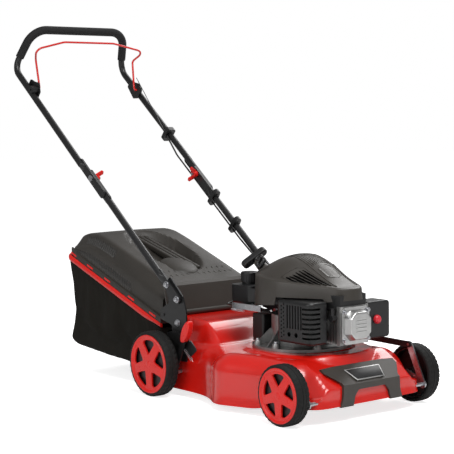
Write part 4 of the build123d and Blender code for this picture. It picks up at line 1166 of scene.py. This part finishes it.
rimProfile = [(-1.25, -0.3), (-1.2, 0.9), (-0.95, 1.0), (-0.9, 0.25), (0.9, 0.25), (0.95, 1.0), (1.2, 0.9),
              (1.25, -0.3)]
flatProfile = [(-0.88, 0.45), (0.88, 0.45)]
ridgeProfile = [(-1, -0.3), (-0.5, 1.3), (0.5, 1.3), (1, -0.3)]


def makeLouvres():
    dark, rims = [], []
    for side in (-1, 1):
        for start, end in louvres["runs"]:
            start, end = (start[0], side * start[1]), (end[0], side * end[1])
            rims.append(makeStrip("rim", start, end, louvres["widthMm"], rimProfile, cowlAbs))
            # a flat strip just over the cowl, painted near black as the shade inside the slot
            dark.append(makeStrip("gap", start, end, louvres["widthMm"], flatProfile, louvreShadePaint))
        for start, end in louvres["ridges"]:
            start, end = (start[0], side * start[1]), (end[0], side * end[1])
            rims.append(makeStrip("ridge", start, end, 2.6, ridgeProfile, cowlAbs))
    return dark, rims


louvreShadeStrips, louvreRims = makeLouvres()
# the louvres' painted shade strips, joined into one piece
nameJoined(louvreShadeStrips, "cowlLouvreShade", "deck", louvreShadePaint)
nameJoined(louvreRims, "cowlLouvreRims", "deck", cowlAbs)
ribProfile = [(-1, -0.3), (-0.7, 0.9), (0.7, 0.9), (1, -0.3)]
topRibs = [makeStrip("rib", (390, y), (474, y), 2.4, ribProfile, cowlAbs)
           for y in range(-30, 31, 6)]
nameJoined(topRibs, "cowlTopRibs", "deck", cowlAbs)
plateRim = [(-1.04, -0.3), (-1, 1.0), (-0.9, 1.0), (-0.86, 0.3), (0, 0.3), (0.86, 0.3), (0.9, 1.0), (1, 1.0),
            (1.04, -0.3)]
makeStrip("cowlBlankPlate", (480, 0), (531, 0), 50, plateRim, cowlAbs)

makeCordEyes()
print("cowl details done")

# tube necks: where a round handle tube is pressed flat for its bolt
neck = {"tubeMm": 9.5, "flatHalfMm": 12.4, "flatThickMm": 2.95, "lengthMm": 26, "overlapMm": 4, "skinMm": 0.1,
        "steps": 8, "around": 32}
handleSlope = {"x": 64.3, "z": 304.0, "rise": 0.8142}


def onHandle(x, y):
    return Vector((x, y, handleSlope["z"] + (handleSlope["x"] - x) * handleSlope["rise"])) * mm


def makeNeck(name, body, x, tubeY, flatY, upward):
    # upward: the flat lies up the handle from the tube
    form = bmesh.new()
    way = Vector((-1, 0, handleSlope["rise"])).normalized() * (1 if upward else -1)
    up = Vector((0, 1, 0)).cross(way).normalized()
    rows = []
    for j in range(neck["steps"] + 1):
        share = j / neck["steps"]
        ease = ramp(share, 0, 1)
        row = []
        for i in range(neck["around"]):
            a = 2 * math.pi * i / neck["around"]
            wide = neck["tubeMm"] + (neck["flatHalfMm"] - neck["tubeMm"]) * ease
            thick = neck["tubeMm"] + (neck["flatThickMm"] - neck["tubeMm"]) * ease
            y = tubeY + (flatY - tubeY) * ease
            place = onHandle(x, 0) + way * (neck["lengthMm"] * share - neck["overlapMm"]) * mm
            row.append(form.verts.new(place + up * math.cos(a) * (wide + neck["skinMm"]) * mm
                                      + Vector((0, (y + math.sin(a) * (thick + neck["skinMm"])) * mm, 0))))
        rows.append(row)
    skin(form, rows)
    form.faces.new(rows[0])
    form.faces.new(rows[-1])
    bmesh.ops.recalc_face_normals(form, faces=form.faces)
    addMesh(name, form)
    return finishPiece(name, body, tubeCoat)


for side, word in bothSides:
    makeNeck("lowerNeckFoot" + word, "deck", 48, side * 187, side * 185.9, False)
    makeNeck("lowerNeckTop" + word, "deck", -194, side * 187, side * 185.9, True)
    makeNeck("upperNeck" + word, "upper_handle", -310, side * 196, side * 192.1, False)
print("tube necks done")

# fasteners: hexagon heads on washers
screws = {"washerThickMm": 1.2, "bevelMm": 0.3, "crownMm": 0.6}


def makeScrew(name, body, place, axis, headMm, heightMm, washerMm=0.0):
    made = []
    if washerMm:
        bpy.ops.mesh.primitive_cylinder_add(vertices=40, radius=washerMm * mm, depth=screws["washerThickMm"] * mm,
                                            location=(0, 0, screws["washerThickMm"] / 2 * mm))
        made.append(bpy.context.object)
    base = screws["washerThickMm"] if washerMm else 0
    bpy.ops.mesh.primitive_cylinder_add(vertices=6, radius=headMm * mm, depth=heightMm * mm,
                                        location=(0, 0, (base + heightMm / 2) * mm))
    startEdit()
    pick(lambda f: f.normal.z > 0.9)
    bpy.ops.mesh.inset(thickness=headMm * 0.18 * mm)
    bpy.ops.transform.translate(value=(0, 0, screws["crownMm"] * mm))
    endEdit()
    made.append(bpy.context.object)
    for piece in made:
        settle(piece)
        addModifier(piece, "BEVEL", width=screws["bevelMm"] * mm, segments=2, limit_method="ANGLE")
    screw = joinPieces(made)
    screw.data.transform(Matrix.Translation(Vector(place) * mm) @ turnTo(axis))
    return finishPiece(name, body, zincPlate)


def makeHandleScrews():
    places = {"Upper": (75.0, 295.3, 188.9), "Lower": (119.0, 259.5, 188.9), "Foot": (114.0, 196.0, 182.5)}
    for side, word in bothSides:
        for level, (x, z, y) in places.items():
            makeScrew("bracketScrew" + level + word, "deck", (x, side * y, z), (0, side, 0), 7.0, 5.0, 9.5)


makeHandleScrews()

# crankcase: bosses and screws round its flange
casting = {"bosses": (24, 84, 128, 206, 246, 284, 336), "reach": 118, "bossMm": 9, "heightMm": 13, "centreX": 400,
           "floorMm": 156.5}


def makeBosses():
    made = []
    for angle in casting["bosses"]:
        x = casting["centreX"] + casting["reach"] * math.cos(math.radians(angle))
        y = casting["reach"] * math.sin(math.radians(angle))
        tallMm, floorMm = casting["heightMm"], casting["floorMm"]
        bpy.ops.mesh.primitive_cylinder_add(vertices=32, radius=casting["bossMm"] * mm, depth=tallMm * mm,
                                            location=(x * mm, y * mm, (floorMm + tallMm / 2) * mm))
        startEdit()
        pick(lambda f: f.normal.z > 0.9)
        bpy.ops.mesh.inset(thickness=1.6 * mm)
        bpy.ops.transform.translate(value=(0, 0, -1.0 * mm))
        pick(lambda f: f.normal.z < -0.9)
        bpy.ops.transform.resize(value=(1.3, 1.3, 1))
        endEdit()
        boss = bpy.context.object
        settle(boss)
        addModifier(boss, "BEVEL", width=0.8 * mm, segments=2, limit_method="ANGLE")
        made.append(boss)
        makeScrew("caseScrew" + str(angle), "deck", (x, y, floorMm + tallMm - 1), (0, 0, 1), 5.6, 4.6, 7.4)
    nameJoined(made, "caseBosses", "deck", castAluminium)


makeBosses()

# valve cover: plain raised bars across its face, and four screws
cover = {"barsAt": (-14, -5, 4, 13), "barMm": (2.4, 34, 3.2), "screwsAt": (39.5, 35), "screwInMm": 6}

def makeCoverDetail():
    low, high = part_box("valve_cover")
    midZ = (low[2] + high[2]) / 2
    made = []
    for dz in cover["barsAt"]:
        bpy.ops.mesh.primitive_cube_add(size=1, location=(high[0] + 0.3 * mm, 0, midZ + dz * mm),
                                        scale=tuple(v * mm for v in cover["barMm"]))
        bar = bpy.context.object
        settle(bar)
        addModifier(bar, "BEVEL", width=0.9 * mm, segments=2)
        made.append(bar)
    nameJoined(made, "coverRibs", "deck", silverCast)
    number = 0
    screwY, screwZ = cover["screwsAt"]
    for side in (-1, 1):
        for dz in (-screwZ, screwZ):
            number += 1
            place = (low[0] / mm + cover["screwInMm"], side * screwY, midZ / mm + dz)
            makeScrew("coverScrew" + str(number), "deck", place, (1, 0, 0), 5.2, 5.4, 7)


makeCoverDetail()

# baffle: the black sheet between the cowl and the cylinder, which closes the gap over the fins
baffle = {"edge": [(300, -96), (430, -74), (470, -70), (520, -62), (588, -44), (588, 44), (520, 62), (430, 96),
                   (300, 96)], "low": 262, "high": 297}


def makeBaffle():
    form = bmesh.new()
    skin(form, [[form.verts.new((x * mm, y * mm, z * mm)) for x, y in baffle["edge"]]
                for z in (baffle["low"], baffle["high"])])
    bmesh.ops.recalc_face_normals(form, faces=form.faces)
    piece = addMesh("cylinderBaffle", form)
    addModifier(piece, "SOLIDIFY", thickness=1.2 * mm, offset=-1)
    finishPiece("cylinderBaffle", "deck", tubeCoat)


makeBaffle()
print("engine details done")

# springs: round wire wound into coils


def makeSpring(name, body, start, end, radiusMm, wireMm, turns, tailMm=6):
    start, end = Vector(start) * mm, Vector(end) * mm
    axis = (end - start).normalized()
    side = axis.orthogonal().normalized()
    other = axis.cross(side)
    points = [start - axis * tailMm * mm, start]
    for i in range(turns * 12 + 1):
        a = 2 * math.pi * i / 12
        swing = (side * math.cos(a) + other * math.sin(a)) * radiusMm * mm
        points.append(start + (end - start) * i / (turns * 12) + swing)
    points += [end, end + axis * tailMm * mm]
    curve = bpy.data.curves.new(name, "CURVE")
    curve.dimensions = "3D"
    curve.bevel_depth = wireMm / 2 * mm
    curve.bevel_resolution = 2
    curve.resolution_u = 2
    line = curve.splines.new("POLY")
    line.points.add(len(points) - 1)
    for point, place in zip(line.points, points):
        point.co = (*place, 1)
    piece = addPiece(name, curve)
    deselectAll()
    piece.select_set(True)
    bpy.ops.object.convert(target="MESH")
    return finishPiece(name, body, zincPlate)


for side, word in bothSides:
    start, end = (52, side * 168.8, 212), (52, side * 176.8, 212)
    spring = makeSpring("flapSpring" + word, "deck", start, end, 6.6, 1.6, 4, 0)
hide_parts("flap_springs")
makeSpring("leverSpring", "deck", (158, -193, 132), (182, -190, 106), 4.2, 1.3, 9)
makeSpring("throttleSpring", "deck", (296, -82, 250), (336, -76, 250), 3.4, 0.9, 12)
makeSpring("brakeSpring", "deck", (236, -96, 236), (282, -96, 236), 3.0, 0.9, 14)
print("springs done")
